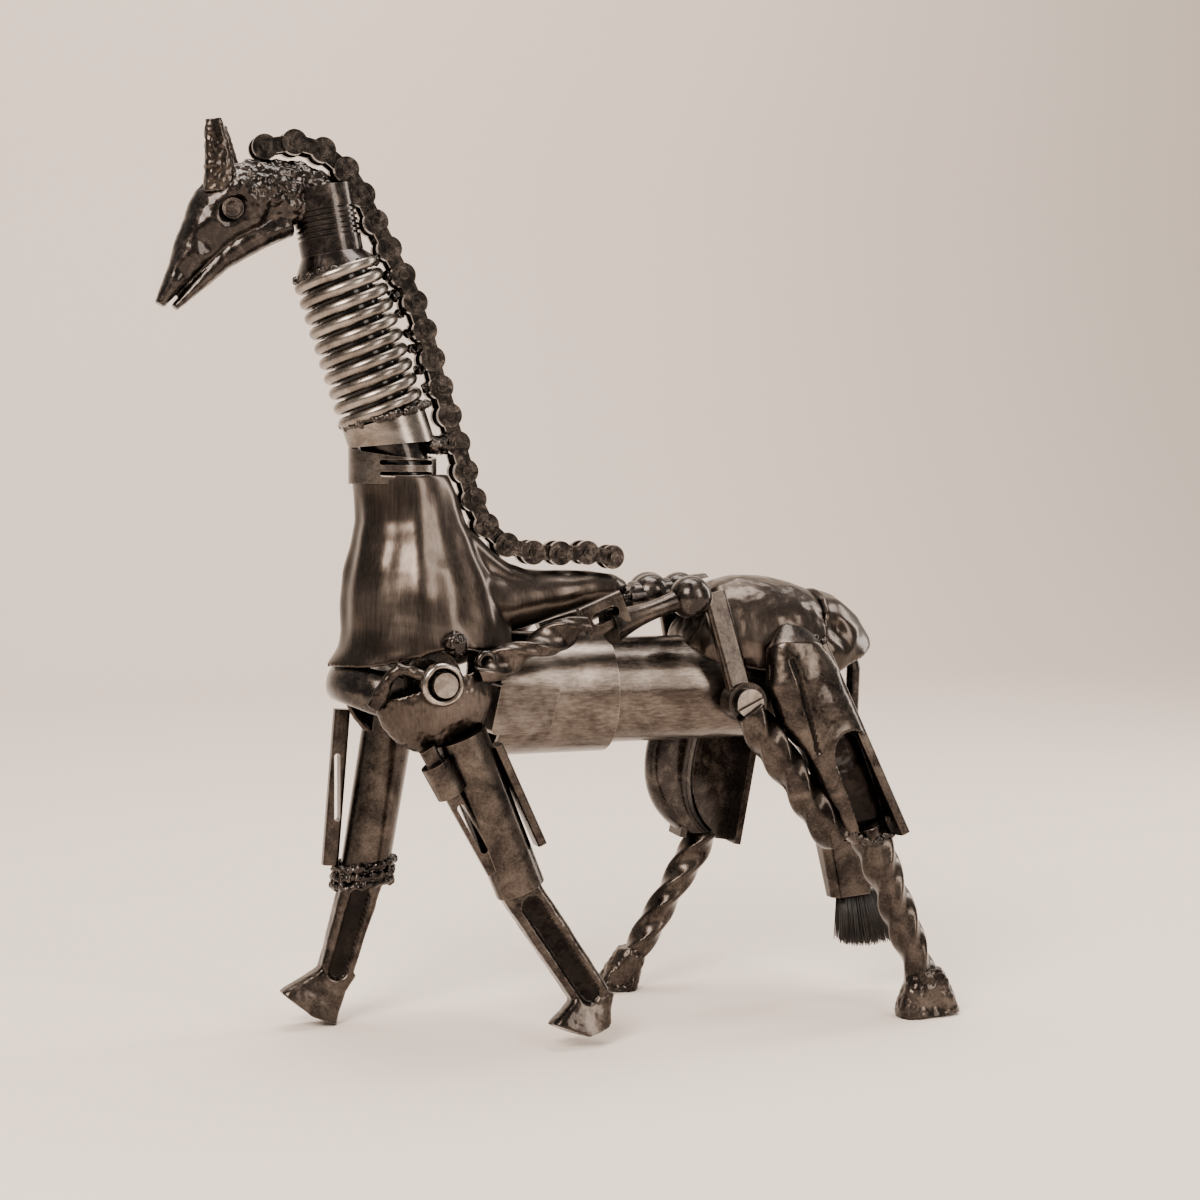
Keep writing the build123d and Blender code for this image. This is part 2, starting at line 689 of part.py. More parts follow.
tie_rod_left = tie_rod(-1)
tie_rod_left.part.label = "tie_rod_left"
export_step(tie_rod_left.part, "parts/tie_rod_left.step")

tie_rod_right = tie_rod(1)
tie_rod_right.part.label = "tie_rod_right"
export_step(tie_rod_right.part, "parts/tie_rod_right.step")

with BuildPart() as hip_elbows:
    for side in (-1, 1):
        with Locations(at_side(hind(-22, -ROD_Y + 5, 42), side)):
            Sphere(ELBOW_RADIUS)
    cope(tie_rod_left, tie_rod_right, spine_bar, rump_shell, body_barrel)
hip_elbows.part.label = "hip_elbows"
export_step(hip_elbows.part, "parts/hip_elbows.step")

HIP_EYE_Y = HIND_STANCE - 2.0
with BuildPart() as hip_eyes:
    for side in (-1, 1):
        eye_face = Plane(origin=hind(0, side * (HIP_EYE_Y - 8), -4.4), x_dir=(1, 0, 0), z_dir=(0, side, 0))
        with BuildSketch(eye_face):
            Circle(HIP_EYE_RADIUS)
            Circle(SCREW_RADIUS, mode=Mode.SUBTRACT)
        extrude(amount=10)
    cope(body_barrel, rump_shell)
hip_eyes.part.label = "hip_eyes"
export_step(hip_eyes.part, "parts/hip_eyes.step")

with BuildPart() as hip_screws:
    for side in (-1, 1):
        across = Plane(origin=hind(0, 0, -4.4), x_dir=(1, 0, 0), z_dir=(0, side, 0))
        head_face = across.offset(HIP_EYE_Y + 2)
        with BuildSketch(across.offset(BARREL_RADIUS + 1)):
            Circle(SCREW_RADIUS)
        extrude(amount=HIP_EYE_Y + 1 - BARREL_RADIUS)
        with BuildSketch(head_face):
            Circle(SCREW_RADIUS * 1.5)
        extrude(amount=3.0)
        with BuildSketch(head_face.offset(1.6)):
            Rectangle(SCREW_RADIUS * 4, SCREW_SLOT, rotation=25)
        extrude(amount=3.0, mode=Mode.SUBTRACT)
    cope(body_barrel)
hip_screws.part.label = "hip_screws"
export_step(hip_screws.part, "parts/hip_screws.step")


def hip_arm(side):
    """A bevelled flat arm from the elbow down to the hip eye."""
    start = at_side(hind(-12, -ROD_Y + 3, 44), side)
    end = at_side(hind(-1, -HIP_EYE_Y + 3, -2), side)
    blank = flat_bar(start, end, 11.0, 5.0, 1.8)
    with BuildPart() as arm:
        add(blank.part)
        cope(hip_elbows, hip_eyes, hip_screws, spine_bar, rump_shell, body_barrel)
        add(keep_main(arm), mode=Mode.REPLACE)
    return arm


hip_arm_left = hip_arm(-1)
hip_arm_left.part.label = "hip_arm_left"
export_step(hip_arm_left.part, "parts/hip_arm_left.step")

hip_arm_right = hip_arm(1)
hip_arm_right.part.label = "hip_arm_right"
export_step(hip_arm_right.part, "parts/hip_arm_right.step")

with BuildPart() as flank_flap:
    with BuildSketch(Plane.XZ.offset(FRONT_STANCE - 6)):
        with BuildLine():
            Polyline(
                (front(25, 0, 0).X, BODY_HEIGHT - 15),
                (front(30, 0, 0).X, BODY_HEIGHT + 7),
                (front(57, 0, 0).X, BODY_HEIGHT + 4),
                (front(52, 0, 0).X, BODY_HEIGHT - 14),
                close=True,
            )
        make_face()
    extrude(amount=-14)
    fillet(flank_flap.edges().filter_by(Axis.Y), 2.0)
    cope(body_sleeve, sleeve_core, shoulder_disc_left, side_strap_left)
    add(keep_main(flank_flap), mode=Mode.REPLACE)
flank_flap.part.label = "flank_flap"
export_step(flank_flap.part, "parts/flank_flap.step")

with BuildPart() as chest_band:
    with BuildLine() as band_path:
        ThreePointArc(front(-12, -28, 0), front(-33, 0, 8), front(-12, 28, 0))
    with BuildSketch(Plane(origin=band_path.line @ 0, z_dir=band_path.line % 0, x_dir=(0, 0, 1))):
        Ellipse(9.0, 5.5)
    sweep()
    cope(chest_shell, shoulder_disc_left, shoulder_disc_right, shoulder_cross_tube, sleeve_core)
    add(keep_main(chest_band), mode=Mode.REPLACE)
chest_band.part.label = "chest_band"
export_step(chest_band.part, "parts/chest_band.step")

# ---------------------------------------------------------------- legs
GROUND_REACH = 300.0
with BuildPart() as ground:
    Box(2 * GROUND_REACH, GROUND_REACH, 40, align=(Align.CENTER, Align.CENTER, Align.MAX))


def hoof(ankle, toe, heel, ankle_size, sole_width, thickness):
    """A flared hoof from the ankle to a sole between toe and heel, cut flat by the ground."""
    sole_way = heel - toe
    sole = Plane(origin=(toe + heel) * 0.5, x_dir=(0, 1, 0), z_dir=Vector(sole_way.Z, 0, -sole_way.X))
    waist = Plane(origin=ankle * 0.45 + sole.origin * 0.55, x_dir=(0, 1, 0), z_dir=sole.z_dir)
    with BuildPart() as foot:
        with BuildSketch(Plane(origin=ankle, x_dir=(0, 1, 0), z_dir=sole.origin - ankle)):
            RectangleRounded(thickness, ankle_size, thickness * 0.3)
        with BuildSketch(waist):
            RectangleRounded(thickness * 1.15, (ankle_size + sole_width) * 0.52, thickness * 0.3)
        with BuildSketch(sole):
            RectangleRounded(thickness * 1.3, sole_width, thickness * 0.3)
        loft()
        cope(ground)
    return foot


def panelled_shank(knee, ankle, knee_width, ankle_width, thickness):
    """A forged handle with a long panel sunk in each flank."""
    axis = along(knee, ankle)
    length = (ankle - knee).length
    with BuildPart() as shank:
        with BuildSketch(axis):
            RectangleRounded(thickness, knee_width, thickness * 0.25)
        with BuildSketch(axis.offset(length)):
            RectangleRounded(thickness, ankle_width, thickness * 0.25)
        loft()
        for side in (-1, 1):
            flank = Plane(
                origin=(knee + ankle) * 0.5 + Vector(0, side * (thickness / 2 - 1.2), 0),
                x_dir=axis.z_dir,
                z_dir=axis.x_dir * side,
            )
            with BuildSketch(flank):
                RectangleRounded(length * 0.76, min(knee_width, ankle_width) * 0.55, 2.5)
            extrude(amount=10, mode=Mode.SUBTRACT)
    return shank


# near front leg
fl_knee = Vector(SHOULDER_X + 38, -31.5, FRONT_KNEE)
fl_ankle = Vector(SHOULDER_X + 67, -38, ANKLE - 3)
fl_shoulder = front(10, -FRONT_STANCE + 2, -14)
fl_tube_foot = fl_knee + Vector(-1, 0, 5)
front_left_tube_blank = round_bar(fl_shoulder, fl_tube_foot, LEG_TUBE_RADIUS, LEG_TUBE_RADIUS - 0.7)
with BuildPart() as front_left_upper_tube:
    add(front_left_tube_blank.part)
    cope(shoulder_disc_left, sleeve_core, shoulder_cross_tube, flank_flap, chest_band)
    add(keep_main(front_left_upper_tube), mode=Mode.REPLACE)
front_left_upper_tube.part.label = "front_left_upper_tube"
export_step(front_left_upper_tube.part, "parts/front_left_upper_tube.step")

fl_shank_blank = panelled_shank(fl_knee + Vector(-4, 0, 8), fl_ankle, 17.0, 15.5, 10.0)
fl_hoof_blank = hoof(
    fl_ankle, Vector(SHOULDER_X + 47, -41, -1.5), Vector(SHOULDER_X + 74.6, -41, 9), 15.5, 28.0, 11.0
)
with BuildPart() as front_left_shank:
    add(fl_shank_blank.part)
    add(fl_hoof_blank.part)
    cope(front_left_upper_tube)
    add(keep_main(front_left_shank), mode=Mode.REPLACE)
front_left_shank.part.label = "front_left_shank"
export_step(front_left_shank.part, "parts/front_left_shank.step")

fl_link_start = front(-6, -FRONT_STANCE - 4, -18)
fl_link_end = Vector(SHOULDER_X + 24, -36, FRONT_KNEE + 14)
fl_link_blank = flat_bar(fl_link_start, fl_link_end, 7.0, 5.0, 1.6)
fl_link_axis = along(fl_link_start, fl_link_end)
fl_slot_at = fl_link_start * 0.35 + fl_link_end * 0.65
fl_clamp_at = fl_link_start * 0.76 + fl_link_end * 0.24
with BuildPart() as front_left_link_bar:
    add(fl_link_blank.part)
    with BuildSketch(Plane(origin=fl_slot_at, x_dir=fl_link_axis.z_dir, z_dir=(0, 1, 0))):
        SlotOverall(24, 3.2)
    extrude(amount=20, both=True, mode=Mode.SUBTRACT)
    cope(front_left_upper_tube, shoulder_disc_left, front_left_shank)
    add(keep_main(front_left_link_bar), mode=Mode.REPLACE)
front_left_link_bar.part.label = "front_left_link_bar"
export_step(front_left_link_bar.part, "parts/front_left_link_bar.step")

with BuildPart() as front_left_clamp:
    with BuildSketch(Plane(origin=fl_clamp_at, x_dir=(0, 1, 0), z_dir=fl_link_axis.z_dir)):
        Circle(6.4)
    extrude(amount=7.5, both=True)
    cope(front_left_link_bar, front_left_upper_tube, shoulder_disc_left)
    add(keep_main(front_left_clamp), mode=Mode.REPLACE)
front_left_clamp.part.label = "front_left_clamp"
export_step(front_left_clamp.part, "parts/front_left_clamp.step")

fl_rear_blank = flat_bar(
    front(25, -FRONT_STANCE - 1, -18), Vector(SHOULDER_X + 45, -34, FRONT_KNEE + 24), 4.0, 9.0, 1.2
)
with BuildPart() as front_left_rear_bar:
    add(fl_rear_blank.part)
    cope(front_left_upper_tube, shoulder_disc_left, flank_flap, sleeve_core)
    add(keep_main(front_left_rear_bar), mode=Mode.REPLACE)
front_left_rear_bar.part.label = "front_left_rear_bar"
export_step(front_left_rear_bar.part, "parts/front_left_rear_bar.step")

# far front leg
fr_knee = Vector(SHOULDER_X - 15, 35, FRONT_KNEE - 3)
fr_ankle = Vector(SHOULDER_X - 28, 35, ANKLE)
fr_shoulder = front(-3, FRONT_STANCE - 1, -12)
fr_tube_foot = fr_knee + Vector(0.5, 0, 5)
front_right_tube_blank = round_bar(fr_shoulder, fr_tube_foot, LEG_TUBE_RADIUS, LEG_TUBE_RADIUS - 0.7)
with BuildPart() as front_right_upper_tube:
    add(front_right_tube_blank.part)
    cope(shoulder_disc_right, sleeve_core, shoulder_cross_tube, chest_band)
    add(keep_main(front_right_upper_tube), mode=Mode.REPLACE)
front_right_upper_tube.part.label = "front_right_upper_tube"
export_step(front_right_upper_tube.part, "parts/front_right_upper_tube.step")

fr_shank_blank = panelled_shank(fr_knee + Vector(1, 0, 8), fr_ankle, 18.0, 14.0, 10.0)
fr_hoof_blank = hoof(
    fr_ankle, Vector(SHOULDER_X - 54.5, 34, 12), Vector(SHOULDER_X - 26.5, 34, -2.5), 14.0, 29.0, 11.0
)
with BuildPart() as front_right_shank:
    add(fr_shank_blank.part)
    add(fr_hoof_blank.part)
    cope(front_right_upper_tube)
    add(keep_main(front_right_shank), mode=Mode.REPLACE)
front_right_shank.part.label = "front_right_shank"
export_step(front_right_shank.part, "parts/front_right_shank.step")

with BuildPart() as front_right_knee_band:
    with BuildSketch(Plane(origin=fr_knee + Vector(0, 0, 2), x_dir=(0, 1, 0), z_dir=(0.15, 0, 1))):
        Circle(LEG_TUBE_RADIUS + 1.5)
    extrude(amount=7)
    cope(front_right_upper_tube, front_right_shank)
    add(keep_main(front_right_knee_band), mode=Mode.REPLACE)
front_right_knee_band.part.label = "front_right_knee_band"
export_step(front_right_knee_band.part, "parts/front_right_knee_band.step")

fr_link_start = front(-24, FRONT_STANCE + 2, -8)
fr_link_end = Vector(SHOULDER_X - 29.5, 36, FRONT_KNEE + 8)
fr_link_blank = flat_bar(fr_link_start, fr_link_end, 7.0, 6.0, 1.6)
with BuildPart() as front_right_link_bar:
    add(fr_link_blank.part)
    with BuildSketch(Plane(origin=(fr_link_start + fr_link_end) * 0.5, x_dir=(0, 0, 1), z_dir=(0, 1, 0))):
        SlotOverall(30, 2.6)
    extrude(amount=20, both=True, mode=Mode.SUBTRACT)
    cope(front_right_upper_tube, shoulder_disc_right, front_right_knee_band, chest_band)
    add(keep_main(front_right_link_bar), mode=Mode.REPLACE)
front_right_link_bar.part.label = "front_right_link_bar"
export_step(front_right_link_bar.part, "parts/front_right_link_bar.step")

# near hind leg
hl_knee = Vector(HIP_X + 59.5, -41, HIND_KNEE)
hl_ankle = Vector(HIP_X + 83, -46, ANKLE - 2)
hl_thigh_blank = blend(
    (Vector(HIP_X + 52, -41, HIND_KNEE + 6), 12.5, 7.5),
    (hind(44, -HIND_STANCE - 1, -32), 15.0, 9.5),
    (hind(31, -HIND_STANCE - 0.5, -6), 18.0, 9.5),
    (hind(25, -HIND_STANCE + 2, 13), 15.0, 9.0),
    (hind(27, -HIND_STANCE + 8, 26), 8.0, 5.0),
)
with BuildPart() as hind_left_thigh_shell:
    add(hl_thigh_blank.part)
    cope(body_barrel, rump_shell, hip_eyes, hip_screws)
    add(keep_main(hind_left_thigh_shell), mode=Mode.REPLACE)
hind_left_thigh_shell.part.label = "hind_left_thigh_shell"
export_step(hind_left_thigh_shell.part, "parts/hind_left_thigh_shell.step")

hl_bar_foot = Vector(HIP_X + 73, -42, HIND_KNEE + 4)
hl_bar_blank = flat_bar(hind(36, -HIND_STANCE + 4, 20), hl_bar_foot, 4.6, 15.0, 1.5)
with BuildPart() as hind_left_thigh_bar:
    add(hl_bar_blank.part)
    cope(hind_left_thigh_shell, rump_shell, body_barrel, rump_rear_panel)
    add(keep_main(hind_left_thigh_bar), mode=Mode.REPLACE)
hind_left_thigh_bar.part.label = "hind_left_thigh_bar"
export_step(hind_left_thigh_bar.part, "parts/hind_left_thigh_bar.step")

hl_shank_blank = twisted_bar(hl_knee + Vector(-3, 0.6, 8), hl_ankle, 14.0, 12.0, 0.8)
with BuildPart() as hind_left_shank:
    add(hl_shank_blank.part)
    cope(hind_left_thigh_shell, hind_left_thigh_bar)
    add(keep_main(hind_left_shank), mode=Mode.REPLACE)
hind_left_shank.part.label = "hind_left_shank"
export_step(hind_left_shank.part, "parts/hind_left_shank.step")

hl_twist_blank = twisted_bar(hind(1, -HIP_EYE_Y + 1, -10), hl_knee + Vector(-20, 0, 4), 13.5, 12.0, 0.9)
with BuildPart() as hind_left_thigh_twist:
    add(hl_twist_blank.part)
    cope(hind_left_thigh_shell, hip_eyes, hip_screws, body_barrel, hind_left_shank)
    add(keep_main(hind_left_thigh_twist), mode=Mode.REPLACE)
hind_left_thigh_twist.part.label = "hind_left_thigh_twist"
export_step(hind_left_thigh_twist.part, "parts/hind_left_thigh_twist.step")

hl_hoof_blank = hoof(
    hl_ankle, Vector(HIP_X + 69.5, -HOOF_STANCE, 0), Vector(HIP_X + 100, -HOOF_STANCE, 0), 17.0, 30.5, 13.0
)
with BuildPart() as hind_left_hoof:
    add(hl_hoof_blank.part)
    cope(hind_left_shank)
    add(keep_main(hind_left_hoof), mode=Mode.REPLACE)
hind_left_hoof.part.label = "hind_left_hoof"
export_step(hind_left_hoof.part, "parts/hind_left_hoof.step")

# far hind leg
hr_knee = Vector(HIP_X + 12, 43, HIND_KNEE - 10)
hr_ankle = Vector(HIP_X - 21, HOOF_STANCE, 18)
hr_thigh_blank = blend(
    (hr_knee + Vector(-3, -2, 6), 8.0, 7.0),
    (hind(-6, HIND_STANCE, -45), 12.0, 9.0),
    (hind(-2, HIND_STANCE - 1, -22), 13.0, 9.0),
    (hind(6, HIND_STANCE - 5, 6), 12.0, 8.0),
)
with BuildPart() as hind_right_thigh_shell:
    add(hr_thigh_blank.part)
    cope(body_barrel, rump_shell, hip_eyes, hip_screws, hip_arm_right)
    add(keep_main(hind_right_thigh_shell), mode=Mode.REPLACE)
hind_right_thigh_shell.part.label = "hind_right_thigh_shell"
export_step(hind_right_thigh_shell.part, "parts/hind_right_thigh_shell.step")

channel_axis = along(hind(30, HIND_STANCE, 14), hr_knee + Vector(2, -1, 2))
channel_length = (hr_knee + Vector(2, -1, 2) - hind(30, HIND_STANCE, 14)).length
with BuildPart() as hind_right_thigh_channel:
    with BuildSketch(channel_axis):
        Rectangle(14, 32)
        with Locations((-3, 0)):
            Rectangle(14, 32 - 2 * BAR_THICKNESS, mode=Mode.SUBTRACT)
    extrude(amount=channel_length)
    cope(hind_right_thigh_shell, body_barrel, rump_shell, rump_rear_panel, hip_eyes)
    add(keep_main(hind_right_thigh_channel), mode=Mode.REPLACE)
hind_right_thigh_channel.part.label = "hind_right_thigh_channel"
export_step(hind_right_thigh_channel.part, "parts/hind_right_thigh_channel.step")

hr_shank_blank = twisted_bar(hr_knee + Vector(3, 0, 5), hr_ankle, 12.0, 10.0, 0.9)
with BuildPart() as hind_right_shank:
    add(hr_shank_blank.part)
    cope(hind_right_thigh_channel, hind_right_thigh_shell)
    add(keep_main(hind_right_shank), mode=Mode.REPLACE)
hind_right_shank.part.label = "hind_right_shank"
export_step(hind_right_shank.part, "parts/hind_right_shank.step")

hr_hoof_blank = hoof(
    hr_ankle, Vector(HIP_X - 41, HOOF_STANCE, -1), Vector(HIP_X - 19, HOOF_STANCE, 1.5), 13.0, 22.0, 12.0
)
with BuildPart() as hind_right_hoof:
    add(hr_hoof_blank.part)
    cope(hind_right_shank)
    add(keep_main(hind_right_hoof), mode=Mode.REPLACE)
hind_right_hoof.part.label = "hind_right_hoof"
export_step(hind_right_hoof.part, "parts/hind_right_hoof.step")

# ---------------------------------------------------------------- tail
TAIL_X = HIP_X + 68.0
with BuildPart() as tail_bar:
    with BuildLine() as tail_path:
        FilletPolyline(hind(56, 0, 20), hind(72, 0, 10), Vector(TAIL_X, 0, 70), radius=9)
    with BuildSketch(Plane(origin=tail_path.line @ 0, z_dir=tail_path.line % 0)):
        Circle(3.2)
    sweep()
    add(rump_solid.part, mode=Mode.SUBTRACT)
    cope(rump_rear_panel)
    add(tail_bar.solids().sort_by(Axis.Z)[0], mode=Mode.REPLACE)
tail_bar.part.label = "tail_bar"
export_step(tail_bar.part, "parts/tail_bar.step")

with BuildPart() as tail_ferrule:
    with BuildSketch(Plane(origin=(TAIL_X, 0, 73), x_dir=(1, 0, 0), z_dir=(0.06, 0, -1))):
        RectangleRounded(29, 13, 4)
    with BuildSketch(Plane(origin=(TAIL_X + 1.5, 0, 47), x_dir=(1, 0, 0), z_dir=(0.06, 0, -1))):
        RectangleRounded(21, 11, 4)
    loft()
    cope(tail_bar)
tail_ferrule.part.label = "tail_ferrule"
export_step(tail_ferrule.part, "parts/tail_ferrule.step")

with BuildPart() as tail_bristles:
    with BuildSketch(Plane(origin=(TAIL_X + 1.5, 0, 47), x_dir=(1, 0, 0), z_dir=(0.06, 0, -1))):
        RectangleRounded(18, 9, 3)
    with BuildSketch(Plane(origin=(TAIL_X + 10, 0, 23), x_dir=(1, 0, 0), z_dir=(0.06, 0, -1))):
        RectangleRounded(26, 13, 4)
    loft()
tail_bristles.part.label = "tail_bristles"
export_step(tail_bristles.part, "parts/tail_bristles.step")
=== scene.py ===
# %% [markdown]
# # A welded scrap-steel giraffe
# The sculptor welded found steel into a walking giraffe: a roller chain is its mane, a coil
# spring wraps its neck, and forged bars and tubes are its legs. The engineering model already
# holds every machined piece at its true place, so it is loaded first, as a frame that never moves.

# %% Load the frame
import math
import random

import bmesh
import bpy
from mathutils import Matrix, Vector, noise


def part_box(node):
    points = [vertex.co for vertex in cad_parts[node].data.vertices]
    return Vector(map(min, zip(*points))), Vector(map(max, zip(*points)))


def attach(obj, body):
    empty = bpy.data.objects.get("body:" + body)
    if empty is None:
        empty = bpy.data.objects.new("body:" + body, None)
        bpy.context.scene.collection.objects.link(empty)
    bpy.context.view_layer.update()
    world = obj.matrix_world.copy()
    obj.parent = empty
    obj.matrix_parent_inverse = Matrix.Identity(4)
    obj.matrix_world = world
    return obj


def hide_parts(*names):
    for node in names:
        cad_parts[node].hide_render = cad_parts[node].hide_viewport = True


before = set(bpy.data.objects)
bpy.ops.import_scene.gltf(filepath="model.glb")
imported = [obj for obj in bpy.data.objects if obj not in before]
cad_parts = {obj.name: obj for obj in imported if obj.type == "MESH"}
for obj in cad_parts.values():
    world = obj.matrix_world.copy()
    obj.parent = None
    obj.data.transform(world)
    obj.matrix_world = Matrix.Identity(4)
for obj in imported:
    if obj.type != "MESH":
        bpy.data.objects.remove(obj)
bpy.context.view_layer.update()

random.seed(11)

# %% [markdown]
# ## The camera
# It stands level with the chest, a little towards the head, and looks along the flank. The lens is
# slightly long, so the legs keep their proportions. A shift, not a tilt, lowers the figure in the
# frame, which keeps the upright lines upright.

# %% Camera
MM = 0.001
VIEW_TURN = math.radians(21)
EYE_PLACE = (-0.3111, -0.8748, 0.2359)
LENS, SENSOR = 62.7, 36.0
SHIFT = (-0.0075, -0.0908)
camera_data = bpy.data.cameras.new("camera")
camera_data.lens = LENS
camera_data.sensor_width = SENSOR
camera_data.shift_x, camera_data.shift_y = SHIFT
camera = bpy.data.objects.new("camera", camera_data)
camera.location = EYE_PLACE
camera.rotation_euler = (math.radians(90), 0, -VIEW_TURN)
bpy.context.scene.collection.objects.link(camera)
bpy.context.scene.camera = camera
print("camera at", tuple(camera.location))

# %% [markdown]
# ## Node helpers
# Colours are written as the hex values a painter would pick on screen, so one function turns them
# into the linear values that the shader works in. A second one adds a node, sets it and links it.

# %% Helpers for materials
def linear(hex_text):
    """An sRGB hex colour as linear red, green, blue and alpha."""
    parts = [int(hex_text[i:i + 2], 16) / 255 for i in (1, 3, 5)]
    return [c / 12.92 if c <= 0.04045 else ((c + 0.055) / 1.055) ** 2.4 for c in parts] + [1.0]


def put(tree, kind, inputs=None, **settings):
    """Add one node, set its properties, and fill or link its inputs."""
    made = tree.nodes.new(kind)
    for name, value in settings.items():
        setattr(made, name, value)
    for socket, value in (inputs or {}).items():
        if isinstance(value, bpy.types.NodeSocket):
            tree.links.new(value, made.inputs[socket])
        else:
            made.inputs[socket].default_value = value
    return made


def blank_material(name):
    """A material with a bare Principled shader, returned with its tree and that shader, ready to
    wire.
    """
    material = bpy.data.materials.new(name)
    material.use_nodes = True
    tree = material.node_tree
    tree.nodes.clear()
    shader = put(tree, "ShaderNodeBsdfPrincipled")
    put(tree, "ShaderNodeOutputMaterial", {"Surface": shader.outputs[0]})
    return material, tree, shader


print("mid grey is", round(linear("#808080")[0], 3), "in linear light")

# %% [markdown]
# ## Steel, eight ways
# Every scrap is steel under one coat of clear lacquer, but each was finished differently before it
# was welded in. What changes is how far the mill scale was worn off (a cloudy mix of a dark and a
# bright tone), how rough the grit is, and which way the brushing runs. Steel is fully metallic, so
# the base colour is its reflection. Crevices get painted shade, which ambient occlusion finds and
# darkens towards a near-black colour, and edges are rubbed bright, which a bevel normal finds.
# Eight finishes differ only in these numbers, so one function wires them all.

# %% Worn steel
PATCH_SHARE, GRAIN_SHARE = 0.8, 0.35     # how much each noise weighs in the mottle
MOTTLE_MIDDLE, MOTTLE_REACH = 0.51, 0.3  # where the two noises, added up, cross from dark to bright
EDGE_STARTS, EDGE_FULL = 0.995, 0.86     # how far the rounded normal still agrees with the true one
# painted shade: full where a crevice is less open than the first value, gone past the second
PAINTED_SHADE_FULL, PAINTED_SHADE_GONE = 0.25, 0.8         # how open a crevice is


# the first colour is the painted shade that ambient occlusion lays into crevices
def worn_steel(name, crevice_painted_shade, dark, bright, rough, patch_mm, grain_mm, stretch=(1, 1, 1),
               bump_mm=0.08, edge_mm=0.7, edge_share=0.6, patch_bias=0.5, lacquer=0.25,
               crevice_mm=7.0, softness=0.2):
    """Steel mottled from dark to bright, brushed along the axis that stretch makes short."""
    material, tree, shader = blank_material(name)
    place = put(tree, "ShaderNodeTexCoord").outputs["Object"]
    drawn = put(tree, "ShaderNodeMapping", {"Vector": place, "Scale": stretch}).outputs[0]
    patches = put(tree, "ShaderNodeTexNoise",
                  {"Vector": place, "Scale": 1 / (patch_mm * MM), "Detail": 6.0,
                   "Roughness": 0.62, "Distortion": 0.6})
    grain = put(tree, "ShaderNodeTexNoise",
                {"Vector": drawn, "Scale": 1 / (grain_mm * MM), "Detail": 4.0, "Roughness": 0.6})
    faint_grain = put(tree, "ShaderNodeMath", {0: grain.outputs[0], 1: GRAIN_SHARE},
                      operation="MULTIPLY")
    blend = put(tree, "ShaderNodeMath",
                {0: patches.outputs[0], 1: PATCH_SHARE, 2: faint_grain.outputs[0]},
                operation="MULTIPLY_ADD")
    middle_tone = MOTTLE_MIDDLE + MOTTLE_REACH * patch_bias
    mottle = put(tree, "ShaderNodeMapRange",
                 {"Value": blend.outputs[0], "From Min": middle_tone - softness,
                  "From Max": middle_tone + softness}, interpolation_type="SMOOTHSTEP")
    # the sockets of a colour mix go by number: 0 factor, 6 and 7 the two colours, and output 2
    tone = put(tree, "ShaderNodeMix", data_type="RGBA")
    edged = put(tree, "ShaderNodeMix", data_type="RGBA")
    coloured = put(tree, "ShaderNodeMix", data_type="RGBA")
    tree.links.new(mottle.outputs[0], tone.inputs[0])
    tone.inputs[6].default_value = linear(dark)
    tone.inputs[7].default_value = linear(bright)
    # rubbed edges: where the rounded normal leaves the true one
    rounded = put(tree, "ShaderNodeBevel", {"Radius": edge_mm * MM}, samples=4)
    true_normal = put(tree, "ShaderNodeNewGeometry").outputs["Normal"]
    agrees = put(tree, "ShaderNodeVectorMath", {0: rounded.outputs[0], 1: true_normal},
                 operation="DOT_PRODUCT")
    edge = put(tree, "ShaderNodeMapRange",
               {"Value": agrees.outputs["Value"], "From Min": EDGE_STARTS, "From Max": EDGE_FULL,
                "To Max": edge_share})
    tree.links.new(edge.outputs[0], edged.inputs[0])
    tree.links.new(tone.outputs[2], edged.inputs[6])
    edged.inputs[7].default_value = linear(bright)
    # painted shade in the crevices: ambient occlusion darkens the colour there
    openness = put(tree, "ShaderNodeAmbientOcclusion", {"Distance": crevice_mm * MM}, samples=6)
    unshaded_share = put(tree, "ShaderNodeMapRange",
                {"Value": openness.outputs["AO"], "From Min": PAINTED_SHADE_FULL, "From Max": PAINTED_SHADE_GONE})
    tree.links.new(unshaded_share.outputs[0], coloured.inputs[0])
    coloured.inputs[6].default_value = linear(crevice_painted_shade)
    tree.links.new(edged.outputs[2], coloured.inputs[7])
    # the dark patches are smoother than the rubbed ones, and stand a little proud or sunk
    roughness = put(tree, "ShaderNodeMapRange",
                    {"Value": blend.outputs[0], "From Min": 0.3, "From Max": 0.9,
                     "To Min": rough[0], "To Max": rough[1]})
    bumps = put(tree, "ShaderNodeBump",
                {"Height": blend.outputs[0], "Distance": bump_mm * MM, "Strength": 0.6})
    tree.links.new(coloured.outputs[2], shader.inputs["Base Color"])
    tree.links.new(roughness.outputs[0], shader.inputs["Roughness"])
    tree.links.new(bumps.outputs[0], shader.inputs["Normal"])
    shader.inputs["Metallic"].default_value = 1.0
    shader.inputs["Coat Weight"].default_value = lacquer
    shader.inputs["Coat Roughness"].default_value = 0.12
    print(f"{name}: patches {patch_mm} mm, grain {grain_mm} mm")
    return material


# %% [markdown]
# ## The finishes
# Each call is one kind of scrap. The hex colours are its painted crevice shade, its dark scale and
# its rubbed metal, then come the smoothest and roughest it gets, the size of its cloudy patches and
# of its grain.
# Brushing is a grain stretched along one axis: a tenth on an axis makes ten times longer strokes.
# Real grit is finer than the grain here, which is drawn as coarse as it needs to be to show.

# %% Eight steels
# drawn tube: brushed lengthways, cloudy where it was hand polished
BRUSHED_TUBE = worn_steel("brushed_steel_tube", "#100a07", "#342c27", "#948a81", (0.22, 0.36), 34,
                          1.2, stretch=(0.25, 1, 1), bump_mm=0.03, softness=0.26)
